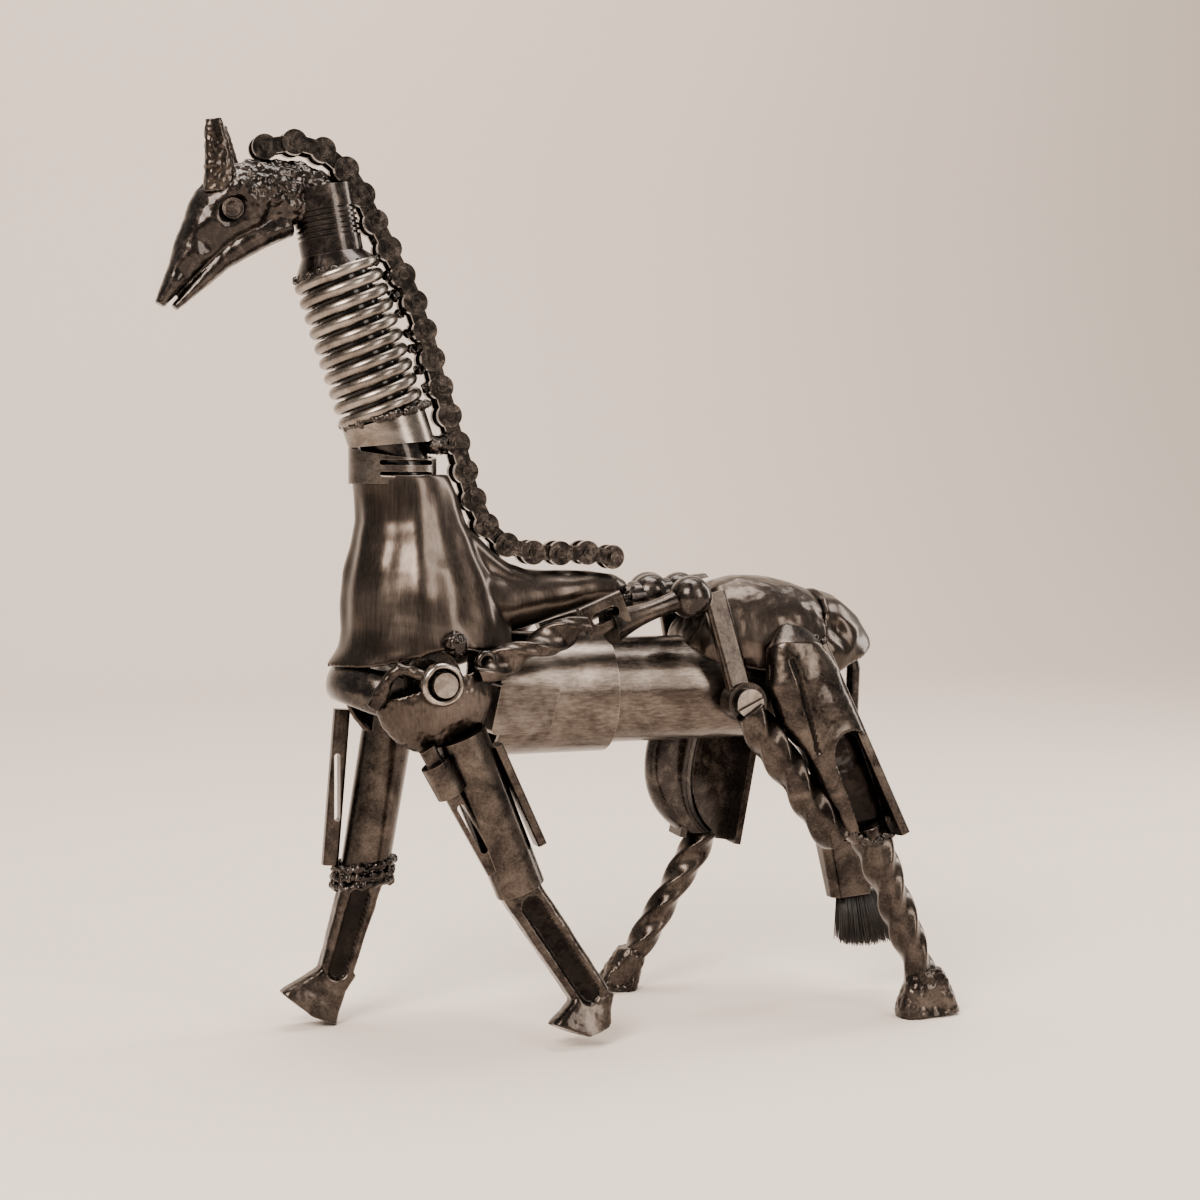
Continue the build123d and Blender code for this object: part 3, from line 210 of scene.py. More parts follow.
# spun bell: the brush followed its upright flutes
BRUSHED_BELL = worn_steel("brushed_steel_bell", "#100a07", "#2f2823", "#665c55", (0.24, 0.36), 38,
                          0.9, stretch=(1, 1, 0.05), bump_mm=0.03, softness=0.28)
# cast and welded lumps keep their black skin
BLACK_CAST = worn_steel("black_cast_steel", "#0a0604", "#1d1714", "#5f5650", (0.2, 0.4), 6, 0.9,
                        bump_mm=0.2, patch_bias=0.6, lacquer=0.5)
# forged bars: dark scale in patches, painted shade in the hollows, pale where the hammer and hand
# rubbed
FORGED = worn_steel("forged_steel", "#0b0705", "#1a1411", "#6a6058", (0.22, 0.38), 13, 1.1,
                    bump_mm=0.12, edge_share=0.85, softness=0.28)
# spring wire and turned collars: ground bright
SATIN_SPRING = worn_steel("satin_spring_steel", "#150e0a", "#5f5750", "#a39b93", (0.22, 0.34), 14,
                          0.5, bump_mm=0.03, patch_bias=0.35, crevice_mm=3.0)
# the chain is oiled and tumbled
OILED_CHAIN = worn_steel("oiled_chain_steel", "#0a0604", "#1a1411", "#6d635b", (0.18, 0.32), 4,
                         0.7, lacquer=0.5, crevice_mm=3.0)
# pin heads and eyes that a hand has polished
POLISHED_PIN = worn_steel("polished_steel_pin", "#150e0a", "#7d756d", "#bab2aa", (0.16, 0.3), 6,
                          0.6, bump_mm=0.02, patch_bias=0.4, edge_mm=0.5, crevice_mm=3.0)
# floors of recesses: a near-black steel that paints the shade inside the hollows
RECESS_PAINTED_SHADE = worn_steel("recess_painted_shade_steel", "#050302", "#0f0b09", "#2a221e", (0.38, 0.55), 8, 1.0,
                   bump_mm=0.1, lacquer=0.15, edge_share=0.0)
print("finishes:", [material.name for material in bpy.data.materials])

# %% [markdown]
# ## Dress the machined nodes
# The chain, spring, tubes, pins and flat bars keep their exact machined shape, because an
# engineering solid is already right for them. Each only gets the finish of its own scrap, and any
# node that is not listed is forged.

# %% Materials for the CAD nodes
NODE_FINISH = {
    BRUSHED_TUBE: ("body_barrel", "body_sleeve", "flank_flap", "neck_slotted_sleeve"),
    BLACK_CAST: ("neck_top_ring", "neck_top_plug", "neck_inner_tube", "spine_bar", "hip_elbows",
                 "shoulder_cross_tube", "eye_domes", "chest_band", "tail_bar", "tail_bristles",
                 "hind_right_thigh_shell", "hind_right_thigh_channel", "hip_eyes"),
    SATIN_SPRING: ("neck_spring", "neck_lower_collar"),
    OILED_CHAIN: ("chain_inner_plates", "chain_outer_plates", "chain_pins", "chain_rollers",
                  "eye_rings"),
    POLISHED_PIN: ("shoulder_pin", "shoulder_eyes", "hip_screws"),
    BRUSHED_BELL: ("chest_shell", "rump_shell", "rump_rear_panel", "shoulder_disc_left",
                   "shoulder_disc_right"),
}
finish_of = {node: material for material, nodes in NODE_FINISH.items() for node in nodes}
for node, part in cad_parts.items():
    part.data.materials.clear()
    part.data.materials.append(finish_of.get(node, FORGED))
print("dressed", len(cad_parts), "nodes")

# %% [markdown]
# ## Anchors
# Every new piece is placed from the frame: from the shoulder pin, the hip screws, the eye rings
# and the barrel's axis. Offsets from these are in millimetres, because scrap is measured in them.

# %% Anchors
def middle(node):
    """The middle of a node's box, in millimetres."""
    low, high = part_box(node)
    return (Vector(low) + Vector(high)) / 2 / MM


axis_height = middle("body_barrel").z
FRONT = Vector((middle("shoulder_pin").x, 0, axis_height))
HAUNCH = Vector((middle("hip_screws").x, 0, axis_height))
EYES = Vector((middle("eye_rings").x, 0, middle("eye_rings").z))
GROUND_FRONT = Vector((FRONT.x, 0, 0))
GROUND_HAUNCH = Vector((HAUNCH.x, 0, 0))
LEFT, RIGHT = -1, 1


def at(anchor, *offset):
    """The place offset from an anchor by so many millimetres along x, y and z."""
    return anchor + Vector(offset)


def rows(anchor, table):
    """Rings for skin, from rows of x, y, z off the anchor and then the ring's own numbers."""
    return [(anchor + Vector(row[:3]), *row[3:]) for row in table]


print("anchors:", FRONT, HAUNCH, EYES)

# %% [markdown]
# ## Skins over rings
# Forged and cast scraps have no flat faces, so each is skinned like a boat: a few rings are set
# along the piece, neighbouring rings are bridged and the ends are filled. A ring starts round and
# can be squared off, which gives anything from a pipe to a bar.

# %% Skinning helpers
def clamped(value, low=0.0, high=1.0):
    """The value, kept between two limits."""
    return max(low, min(high, value))


def ring(bm, centre, way, across, half_a, half_b, square=1.0, segments=40):
    """One ring of vertices: half_a reaches along across, and square below 1 fills its corners."""
    way = Vector(way).normalized()
    side = Vector(across)
    side = (side - way * side.dot(way)).normalized()
    turn = Matrix((side, way.cross(side), way)).transposed().to_4x4()
    verts = bmesh.ops.create_circle(bm, segments=segments, radius=1.0)["verts"]
    for vert in verts:
        x, y = vert.co.x, vert.co.y
        vert.co.x = math.copysign(abs(x) ** square, x) * half_a * MM
        vert.co.y = math.copysign(abs(y) ** square, y) * half_b * MM
    bmesh.ops.transform(bm, matrix=Matrix.Translation(Vector(centre) * MM) @ turn, verts=verts)
    return verts


def bridge(bm, loops):
    """Span each ring of vertices to the next one."""
    for first, second in zip(loops, loops[1:]):
        pair = set(first) | set(second)
        rim = [e for e in bm.edges if pair.issuperset(e.verts) and (e.is_wire or e.is_boundary)]
        bmesh.ops.bridge_loops(bm, edges=rim)


def skin(bm, entries, across=(0, 1, 0), segments=40):
    """Bridge rings of (centre, half_a, half_b[, square[, twist]]) that face along the row."""
    loops = []
    centres = [Vector(entry[0]) for entry in entries]
    for index, (centre, half_a, half_b, *shape) in enumerate(entries):
        way = centres[min(index + 1, len(entries) - 1)] - centres[max(index - 1, 0)]
        square, twist = shape + [1.0, 0.0][len(shape):]
        side = Matrix.Rotation(twist, 3, way.normalized()) @ Vector(across) if twist else across
        loops.append(ring(bm, centre, way, side, half_a, half_b, square, segments))
    bridge(bm, loops)
    for end in (set(loops[0]), set(loops[-1])):
        open_end = [e for e in bm.edges if e.is_boundary and e.verts[0] in end]
        bmesh.ops.holes_fill(bm, edges=open_end, sides=0)
    bmesh.ops.recalc_face_normals(bm, faces=bm.faces)


def cut(bm, place, way, **keep):
    """Slice the whole mesh by a plane through place, and drop the side that keep clears."""
    everything = bm.verts[:] + bm.edges[:] + bm.faces[:]
    bmesh.ops.bisect_plane(bm, geom=everything, plane_co=place * MM, plane_no=way, **keep)


def close(bm):
    """Fill every open rim and turn all faces outwards."""
    bmesh.ops.holes_fill(bm, edges=[e for e in bm.edges if e.is_boundary], sides=0)
    bmesh.ops.recalc_face_normals(bm, faces=bm.faces)


def press(bm, centre, reach, push):
    """Push vertices near centre by push, fading out over reach: a thumb on clay. Millimetres."""
    spot, move = Vector(centre) * MM, Vector(push) * MM
    for vert in bm.verts:
        away = (vert.co - spot).length / (reach * MM)
        if away < 1.0:
            vert.co += move * (1 - away ** 2) ** 2


def roughen(bm, grain, depth, where=lambda place: 1.0, seed=0.0):
    """Move vertices along their normals by smooth noise of the given grain and depth."""
    bm.normal_update()
    shift = Vector((seed, seed * 0.7, -seed))
    for vert in bm.verts:
        share = where(vert.co / MM)
        if share:
            height = noise.noise(vert.co / (grain * MM) + shift)
            vert.co += vert.normal * height * depth * MM * share


FLANK_FACING = 0.3       # a face looks to the flank when its normal leans this far that way
FLOOR_SHARE = 0.25       # sunk by more than this share, it is floor and not rim


def recess(bm, inside, depth, side):
    """Sink the skin that looks to one flank by depth wherever inside(place) says, from 0 to 1.

    The sunk floor takes the second material, a near-black steel that paints the shade in the
    hollow.
    """
    bm.normal_update()
    facing = [v for v in bm.verts if v.normal.y * side > FLANK_FACING]
    sunk = {v: clamped(inside(v.co / MM)) for v in facing}
    for face in bm.faces:
        if all(sunk.get(v, 0.0) > FLOOR_SHARE for v in face.verts):
            face.material_index = 1
    for vert, share in sunk.items():
        vert.co.y -= side * depth * share * MM


def finish_piece(bm, name, material, replaced=(), voxel=0.0, relax=0, rough=(), carve=None):
    """Make the piece's object, fuse it if a voxel is given, and hang it on the frame."""
    mesh = bpy.data.meshes.new(name)
    bm.to_mesh(mesh)
    bm.free()
    piece = bpy.data.objects.new(name, mesh)
    bpy.context.scene.collection.objects.link(piece)
    if voxel:
        fuse = piece.modifiers.new("fuse", "REMESH")
        fuse.mode = "VOXEL"
        fuse.voxel_size = voxel * MM
        if relax:
            soften = piece.modifiers.new("soften", "SMOOTH")
            soften.factor = 0.5
            soften.iterations = relax
        graph = bpy.context.evaluated_depsgraph_get()
        baked = bpy.data.meshes.new_from_object(piece.evaluated_get(graph))
        piece.modifiers.clear()
        piece.data = baked
        bm = bmesh.new()
        bm.from_mesh(baked)
        if carve:
            carve(bm)
        for settings in rough:
            roughen(bm, **settings)
        bm.to_mesh(baked)
        bm.free()
    piece.data.materials.append(material)
    # a carved piece gets the near-black second material, painted shade on its sunk floors
    if carve:
        piece.data.materials.append(RECESS_PAINTED_SHADE)
    for face in piece.data.polygons:
        face.use_smooth = True
    if replaced:
        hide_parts(*replaced)
    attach(piece, "root")
    print(f"{name}: {len(piece.data.polygons)} faces")


print("helpers ready: ring, bridge, skin, cut, close, press, roughen, recess, finish_piece")

# %% [markdown]
# ## The chest bell
# A trumpet-shaped casting stands upright as the chest, and its spout lies back along the withers.
# It is skinned in two bodies that a voxel remesh fuses, so the metal flows from one to the other.
# The rings turn inside at the lower lip, which leaves the bell hollow from below.

# %% Chest bell and withers
BELL_WALL = 2.2
LIP_FROM = 4              # the inner wall starts below the neck, at this row of the outside
FLUTE_DEPTHS = (0.55, 0.35)
BELL_OUTSIDE = [          # height over the barrel axis, front, back, half width
    (96, -28, 13, 20), (87, -27, 17.5, 21), (76, -26.2, 21, 22), (65, -28.4, 27, 25),
    (55, -31, 33, 28.5), (42, -32.3, 38, 31.5), (30, -32.3, 41, 33), (21, -33.5, 43, 34),
    (14, -37, 43, 34),
]


def bell_ring(bm, height, front_x, back_x, half_width, inset=0.0):
    """One level ring of the bell, given by where it crosses the middle plane."""
    return ring(bm, at(FRONT, (front_x + back_x) / 2, 0, height), (0, 0, -1), (0, 1, 0),
                half_width - inset, (back_x - front_x) / 2 - inset, 0.96, 96)


bell = bmesh.new()
bell_loops = [bell_ring(bell, *entry) for entry in BELL_OUTSIDE]
for entry in reversed(BELL_OUTSIDE[LIP_FROM:]):
    bell_loops.append(bell_ring(bell, *entry, inset=BELL_WALL))
bridge(bell, bell_loops)
bmesh.ops.holes_fill(bell, edges=[e for e in bell.edges if e.is_boundary], sides=0)
upright = [e for e in bell.edges if abs((e.verts[0].co - e.verts[1].co).z) > 4 * MM]
bmesh.ops.subdivide_edges(bell, edges=upright, cuts=2, use_grid_fill=True)
bmesh.ops.recalc_face_normals(bell, faces=bell.faces)
for vert in bell.verts:
    place = vert.co / MM - FRONT
    low = clamped((24 - place.z) / 12)
    # the lower lip arches over the shoulders and runs forward to a point
    arch_rise = math.exp(-((place.x - 10) / 24) ** 2) * min(1.0, abs(place.y) / 14)
    vert.co.z += low * arch_rise * 10 * MM
    nose = max(0.0, -place.x - 24) / 12 * max(0.0, 1 - abs(place.y) / 20)
    vert.co.x -= low * nose * 3.5 * MM
    # soft upright flutes from the spinning tool, none at the lip or the neck
    around = math.atan2(place.y, place.x)
    body = clamped((place.z - 18) / 20) * clamped((98 - place.z) / 30)
    flute = FLUTE_DEPTHS[0] * math.sin(7 * around + 0.8) + FLUTE_DEPTHS[1] * math.sin(13 * around)
    vert.co += Vector((place.x, place.y, 0)).normalized() * flute * body * MM
skin(bell, rows(FRONT, [
    (4, 0, 42, 26, 21), (26, 0, 41.5, 24, 19), (36, 0, 41.5, 20.5, 15.5), (47, 0, 42, 17.5, 13.2),
    (63, 0, 43.5, 14, 10.6), (80, 0, 45.5, 11, 8.2), (91, 0, 45.5, 8, 6.4), (97, 0, 44.5, 4, 4),
]), segments=48)
# a concave throat of metal where the spout leaves the bell
skin(bell, rows(FRONT, [
    (8, 0, 74, 14, 9), (18, 0, 65, 16, 9), (27, 0, 57, 17, 8.5), (38, 0, 51, 16, 7),
    (50, 0, 48, 14, 6),
]), segments=48)
# two small dents in the near flank
press(bell, at(FRONT, -27, -20, 56), 2.6, (1.6, 1.6, 0))
press(bell, at(FRONT, -30, -17, 32), 2.8, (1.8, 1.4, 0))
finish_piece(bell, "chest_bell", BRUSHED_BELL, ("chest_shell",), voxel=1.0,
             relax=9, rough=[dict(grain=12, depth=0.5)])

# %% [markdown]
# ## The shoulders
# Each shoulder is half a cast bowl: a flattened ball, cut open above by a slanting plane and given
# a wall. A round ring stands in it around the pin, and a bent bracket runs from the ring forward.
# The bowl is dark inside, so the bright ring and pin stand out as they do on the real piece.

# %% Shoulder bowls, rings and brackets
BOWL_HALF = (25.5, 12.5, 25)
BOWL_WALL = 2.4


def bent_ring(bm, centre, radius, thick, deep):
    """A closed ring around an axis that runs across the figure, spun from an oval."""
    oval = bmesh.ops.create_circle(bm, segments=20, radius=1.0)["verts"]
    shape = Matrix.Translation(at(centre, radius, 0, 0) * MM)
    shape = shape @ Matrix.Diagonal((thick * MM, deep * MM, 1, 1))
    bmesh.ops.transform(bm, matrix=shape, verts=oval)
    rim = [e for e in bm.edges if e.verts[0] in oval and e.verts[1] in oval]
    bmesh.ops.spin(bm, geom=oval + rim, cent=centre * MM, axis=(0, 1, 0), angle=math.tau,
                   steps=72, use_merge=True)
    bmesh.ops.recalc_face_normals(bm, faces=bm.faces)


for side, label in ((LEFT, "left"), (RIGHT, "right")):
    bowl = bmesh.new()
    bowl_middle = at(FRONT, 0, side * 27, 3)
    ball = Matrix.Translation(bowl_middle * MM) @ Matrix.Diagonal((*(h * MM for h in BOWL_HALF), 1))
    bmesh.ops.create_uvsphere(bowl, u_segments=72, v_segments=40, radius=1.0, matrix=ball)
    cut(bowl, bowl_middle, (0, -side, 0), clear_outer=True)
    cut(bowl, at(FRONT, 0, 0, 8.5), (-0.28, 0, 0.96), clear_outer=True)
    bmesh.ops.recalc_face_normals(bowl, faces=bowl.faces)
    bmesh.ops.solidify(bowl, geom=bowl.faces[:], thickness=BOWL_WALL * MM)
    finish_piece(bowl, f"shoulder_bowl_{label}", BRUSHED_BELL,
                 (f"shoulder_disc_{label}",), voxel=0.7, relax=2,
                 rough=[dict(grain=7, depth=0.6), dict(grain=2, depth=0.25)])
    bracket = bmesh.new()
    skin(bracket, rows(FRONT, [
        (-7, side * 38, 12, 2.6, 2.6), (-12, side * 38, 14, 2.2, 2.4),
        (-18, side * 37, 15.5, 2.2, 2.6), (-22, side * 35.5, 11, 2.2, 2.6),
        (-25, side * 34, 4, 2.4, 3.4), (-27, side * 32, -1, 2.4, 3.0),
    ]), segments=24)
    finish_piece(bracket, f"shoulder_bracket_{label}", FORGED, voxel=0.6, relax=2,
                 rough=[dict(grain=4, depth=0.7)])
    nut = bmesh.new()
    bent_ring(nut, at(FRONT, 21, side * 34, 17), 3.4, 1.5, 2.0)
    finish_piece(nut, f"shoulder_nut_{label}", BLACK_CAST)
eyes = bmesh.new()
pin_middle = middle("shoulder_pin")
for side in (LEFT, RIGHT):
    bent_ring(eyes, Vector((pin_middle.x, side * 39.5, pin_middle.z)), 7.6, 1.9, 3.6)
finish_piece(eyes, "shoulder_eye_rings", POLISHED_PIN, ("shoulder_eyes",))

# %% [markdown]
# ## The head
# The head was built up from a socket, a bent jaw bar and rod welded over and over, then ground.
# Skull, muzzle and jaw are skinned apart and fused. Thumb presses sink the eye sockets and cheeks,
# and strong fine noise on the crown is the weld that was left unground.

# %% Head
head = bmesh.new()
# skull and muzzle, from the nape down to the upper lip
skin(head, rows(EYES, [
    (36, 0, 2, 8, 8), (27, 0, 7, 11, 12), (16, 0, 9, 12.5, 15), (6, 0, 5.5, 13.2, 16),
    (-3, 0, -1.5, 12.5, 14), (-9, 0, -9.5, 11, 11), (-14.5, 0, -18, 9, 8), (-20, 0, -26, 7, 5.4),
    (-24.5, 0, -33.5, 5.2, 3.6), (-28, 0, -39.5, 3.8, 2.2),
]))
# lower jaw
skin(head, rows(EYES, [
    (26, 0, -3, 7, 6), (16, 0, -7, 8, 6.5), (6, 0, -13, 7.6, 6.2), (-3, 0, -20, 6.6, 5),
    (-10, 0, -28, 5.4, 3.6), (-16.5, 0, -35, 4.4, 2.4), (-22, 0, -40.5, 3.4, 1.6),
]))
# the ridge of weld that carries the chain, from the horns back over the plug
skin(head, rows(EYES, [
    (5, 0, 9, 6, 6), (11, 0, 13, 8, 7), (19, 0, 15.5, 9, 7.5), (29, 0, 15.5, 9.5, 7.6),
    (38, 0, 11, 10, 8.5), (44, 0, 3, 10, 8.5), (45, 0, -4, 8, 7),
]))
bmesh.ops.subdivide_edges(head, edges=head.edges[:], cuts=1, use_grid_fill=True)
for side in (LEFT, RIGHT):
    for spot, reach, push in (
            ((0, 13, 0), 8, (0, -3.0, 0)),          # eye socket
            ((3, 12, 10), 7, (0, 2.6, 1.0)),        # brow
            ((-10, 10, -13), 7, (0, -2.4, 0)),      # hollow before the cheek
            ((8, 12, -9), 8, (0, 1.6, 0)),          # cheek
            ((18, 12, -2), 8, (0, -3.2, 0)),        # hollow behind the cheek
            ((-18, 7, -26), 6, (0, -1.6, 0))):      # nostril side
        press(head, at(EYES, spot[0], side * spot[1], spot[2]), reach,
              (push[0], side * push[1], push[2]))
press(head, at(EYES, -10, 0, 2), 10, (-1.6, 0, 1.0))
press(head, at(EYES, -18, 0, -14), 9, (-1.2, 0, 0.8))


def crown_weld(place):
    """Full on the crown and nape, fading to an eighth on the muzzle."""
    up = (place - EYES).z + 0.4 * (place - EYES).x
    return clamped((up - 2) / 10, 0.12)


finish_piece(head, "head_casting", BLACK_CAST,
             ("skull_crown", "upper_jaw", "lower_jaw"), voxel=0.62, relax=3,
             rough=[dict(grain=3.6, depth=1.3, where=crown_weld),
                    dict(grain=1.5, depth=0.5, where=crown_weld, seed=4.0)])

# %% [markdown]
# ## The horns
# Two stubs of flat bar stand on the crown, the far one set a little further back. Each is skinned
# from squared rings that shrink upwards, which keeps the bar's edges, and gets weld spatter.

# %% Horns
for side, label, back in ((LEFT, "left", 0.0), (RIGHT, "right", 5.5)):
    stub = bmesh.new()
    skin(stub, rows(EYES, [
        (back - 3.6, side * 6.5, 8, 4.4, 7.4, 0.7), (back - 4.4, side * 7.2, 16, 4.1, 6.4, 0.65),
        (back - 5.6, side * 8.2, 25, 3.5, 5.2, 0.6), (back - 6.8, side * 9.0, 33, 2.9, 4.1, 0.6),
        (back - 7.4, side * 9.4, 37.5, 2.2, 3.2, 0.6),
    ]), segments=32)
    finish_piece(stub, f"horn_stub_{label}", FORGED, (f"horn_{label}",),
                 voxel=0.6, relax=1,
                 rough=[dict(grain=2.4, depth=0.5, seed=side), dict(grain=1.0, depth=0.25)])

# %% [markdown]
# ## The rump
# Two shells cover the hindquarters: a smooth dome cut from a float, and behind it a curved panel
# with a dark gap between them. Both are skinned from upright rings, and cut off below by a slanting
# plane, because a cut shell keeps the sharp lower edge that sheet metal has.

# %% Rump dome and rear panel
dome = bmesh.new()
skin(dome, rows(HAUNCH, [
    (-13, 0, 30, 15, 17), (-8, 0, 27, 22, 22.5), (4, 0, 24, 27, 27), (18, 0, 22, 30, 28.6),
    (29, 0, 20, 31, 28.4), (36, 0, 18, 30, 27.5), (42, 0, 16.5, 28, 25.5), (44, 0, 16, 24, 21.5),
]), segments=64)
cut(dome, at(HAUNCH, 0, 0, 10), (0.12, 0, 1), clear_inner=True)
close(dome)
finish_piece(dome, "rump_dome", BRUSHED_BELL, ("rump_shell",), voxel=1.1, relax=4,
             rough=[dict(grain=12, depth=0.8), dict(grain=3, depth=0.2)])

panel = bmesh.new()
skin(panel, rows(HAUNCH, [
    (41, 0, 18, 29, 27.5), (47, 0, 16, 29, 27.5), (54, 0, 12, 27, 26), (60, 0, 7, 23, 23),
    (64.5, 0, 2, 18, 18), (66, 0, -1, 12, 12),
]), segments=56)
cut(panel, at(HAUNCH, 50, 0, 6), (-0.45, 0, 1), clear_inner=True)
close(panel)
for side in (LEFT, RIGHT):
    press(panel, at(HAUNCH, 50, side * 27, 26), 9, (0, -side * 5, 0))
finish_piece(panel, "rump_back_panel", BRUSHED_BELL, ("rump_rear_panel",),
             voxel=1.1, relax=3, rough=[dict(grain=11, depth=0.9)])

# %% [markdown]
# ## Forged legs
# The front shanks are old tool handles: flat bars with a long sunk panel in each flank, flared into
# a hoof. Bar and hoof are skinned apart and fused. The panel is carved after that, by sinking the
# skin inside a slot, because a remesh would round its rim away.

# %% Panelled shanks with hooves
PANEL_DEPTH = 1.7
BAR_STOPS = (0.0, 0.15, 0.4, 0.7, 1.0)
HOOF_ROWS = (             # how far from ankle to sole, share of thickness, of spread, squareness
    (0.55, 0.56, 0.4, 0.5), (0.85, 0.64, 0.5, 0.5), (1.0, 0.66, 0.52, 0.5),
)


def between(place, start, end, half_width, fade=0.7):
    """1 inside a round-ended slot between two places seen from the side, 0 outside it."""
    line = Vector((end.x - start.x, 0, end.z - start.z))
    spot = Vector((place.x - start.x, 0, place.z - start.z))
    along = clamped(spot.dot(line) / line.length_squared)
    return (half_width - (spot - line * along).length) / fade


def shank(name, replaced, knee, ankle, sole_front, sole_back, widths, thickness):
    """A handle from knee to ankle and on to a flared, slanted hoof, a panel sunk in each flank."""
    bm = bmesh.new()
    sole = (sole_front + sole_back) / 2
    wide, narrow = widths
    skin(bm, [(knee.lerp(ankle, t), thickness / 2, (wide + (narrow - wide) * t) / 2, 0.3)
              for t in BAR_STOPS], segments=48)
    spread = (sole_back - sole_front).length
    hoof = [(ankle.lerp(sole, -0.3), thickness * 0.5, narrow * 0.5, 0.35),
            (ankle.lerp(sole, 0.1), thickness * 0.5, narrow * 0.54, 0.4)]
    hoof += [(ankle.lerp(sole, t), thickness * thick, spread * wide_share, square)
             for t, thick, wide_share, square in HOOF_ROWS]
    skin(bm, hoof, segments=48)
    tilt = (sole_back - sole_front).normalized()
    up = Vector((-tilt.z, 0, tilt.x))

    def carve(fused):
        for vert in fused.verts:
            over = (vert.co / MM - sole_front).dot(up)
            if over < 0:
                vert.co -= up * over * MM
            vert.co.z = max(vert.co.z, 0.0)
        top, bottom = knee.lerp(ankle, 0.2), knee.lerp(ankle, 0.93)
        for side in (LEFT, RIGHT):
            recess(fused, lambda p: between(p, top, bottom, narrow * 0.31), PANEL_DEPTH, side)

    finish_piece(bm, name, FORGED, replaced, voxel=0.65, relax=1, carve=carve,
                 rough=[dict(grain=7, depth=0.3), dict(grain=1.8, depth=0.1)])


shank("near_fore_shank", ("front_left_shank",), at(GROUND_FRONT, 34, -31.8, 70),
      at(GROUND_FRONT, 67, -38, 19), at(GROUND_FRONT, 47, -41, 0.2),
      at(GROUND_FRONT, 74.6, -41, 9), (17.5, 16), 10.5)
shank("far_fore_shank", ("front_right_shank",), at(GROUND_FRONT, -14, 35, 67),
      at(GROUND_FRONT, -28, 35, 21), at(GROUND_FRONT, -54, 34, 12.0),
      at(GROUND_FRONT, -27.5, 34, 0.2), (18.5, 15), 10.5)

# %% [markdown]
# ## Twisted bars
# Three parts of the hind legs are square bars, twisted while red hot. A bar is a row of squared
# rings, and each is turned a little more than the last, so the corners wind round it like a rope.

# %% Twisted bars
def twisted(name, replaced, start, end, half_start, half_end, turns, lead=0.0, steps=44):
    """A square bar twisted while hot: rings that turn a little more at each step."""
    bm = bmesh.new()
    entries = []
    for step in range(steps + 1):
        t = step / steps
        half = half_start + (half_end - half_start) * t
        entries.append((start.lerp(end, t), half, half * 0.86, 0.36, lead + turns * math.tau * t))
    skin(bm, entries)
    finish_piece(bm, name, FORGED, replaced, voxel=0.8, relax=1,
                 rough=[dict(grain=12, depth=0.3)])


twisted("near_hind_twist_shank", ("hind_left_shank",), at(GROUND_HAUNCH, 57, -40.5, 86),
        at(GROUND_HAUNCH, 83.5, -46, 15), 8.2, 6.4, 1.15, lead=0.6)
twisted("far_hind_twist_shank", ("hind_right_shank",), at(GROUND_HAUNCH, 15, 43, 74),
        at(GROUND_HAUNCH, -23, 47, 12), 6.6, 5.6, 1.1, lead=0.3)
twisted("near_thigh_twist", ("hind_left_thigh_twist",), at(HAUNCH, 1, -35.5, -8),
        at(GROUND_HAUNCH, 42, -41, 80), 7.6, 7.2, 1.0)

# %% [markdown]
# ## The near thigh
# A wide forged shell hangs from the hip, and its lower half is open: an arch-shaped hollow that
# runs down to the knee. The shell is skinned and fused, then the arch is pressed deep into it.

# %% Near thigh shell
thigh = bmesh.new()
skin(thigh, rows(HAUNCH, [
    (27, -30, 26, 5, 8, 0.9), (24.5, -35, 19, 8.5, 13, 0.85), (26.5, -37.5, 6, 9.5, 17.5, 0.8),
    (31, -38.5, -7, 9.5, 17.5, 0.8), (39, -39, -20, 9.5, 15.5, 0.75),
    (45, -40, -33, 9.5, 14.5, 0.7), (51, -41, -47, 9, 14, 0.65),
    (56, -41.5, -60, 8.5, 12.5, 0.65), (58, -41.5, -66, 6, 9, 0.8),
]), segments=56)


def arch(fused):
    """The open arch, and the crease along the front edge."""
    top, bottom = at(HAUNCH, 47, 0, -27), at(HAUNCH, 61, 0, -66)
    recess(fused, lambda p: between(p, top, bottom, 9.5, 1.2), 8.5, LEFT)
    crease_top, crease_bottom = at(HAUNCH, 19, 0, 14), at(HAUNCH, 30, 0, -26)
    recess(fused, lambda p: between(p, crease_top, crease_bottom, 2.0, 2.0), 1.5, LEFT)


finish_piece(thigh, "near_thigh_shell", FORGED, ("hind_left_thigh_shell",),
             voxel=0.8, relax=2, carve=arch,
             rough=[dict(grain=12, depth=0.6), dict(grain=2.4, depth=0.1)])

# %% [markdown]
# ## The hind hooves
# Each hind hoof is a lump of steel hammered out to a flat sole. Rings widen towards the ground, a
# press dents the left side, and every vertex below the ground is lifted to it, which makes the
# sole flat.

# %% Hind hooves
def off_the_ground(place):
    """No roughness on the sole, and full roughness 3 mm above it."""
    return min(1.0, place.z / 3)


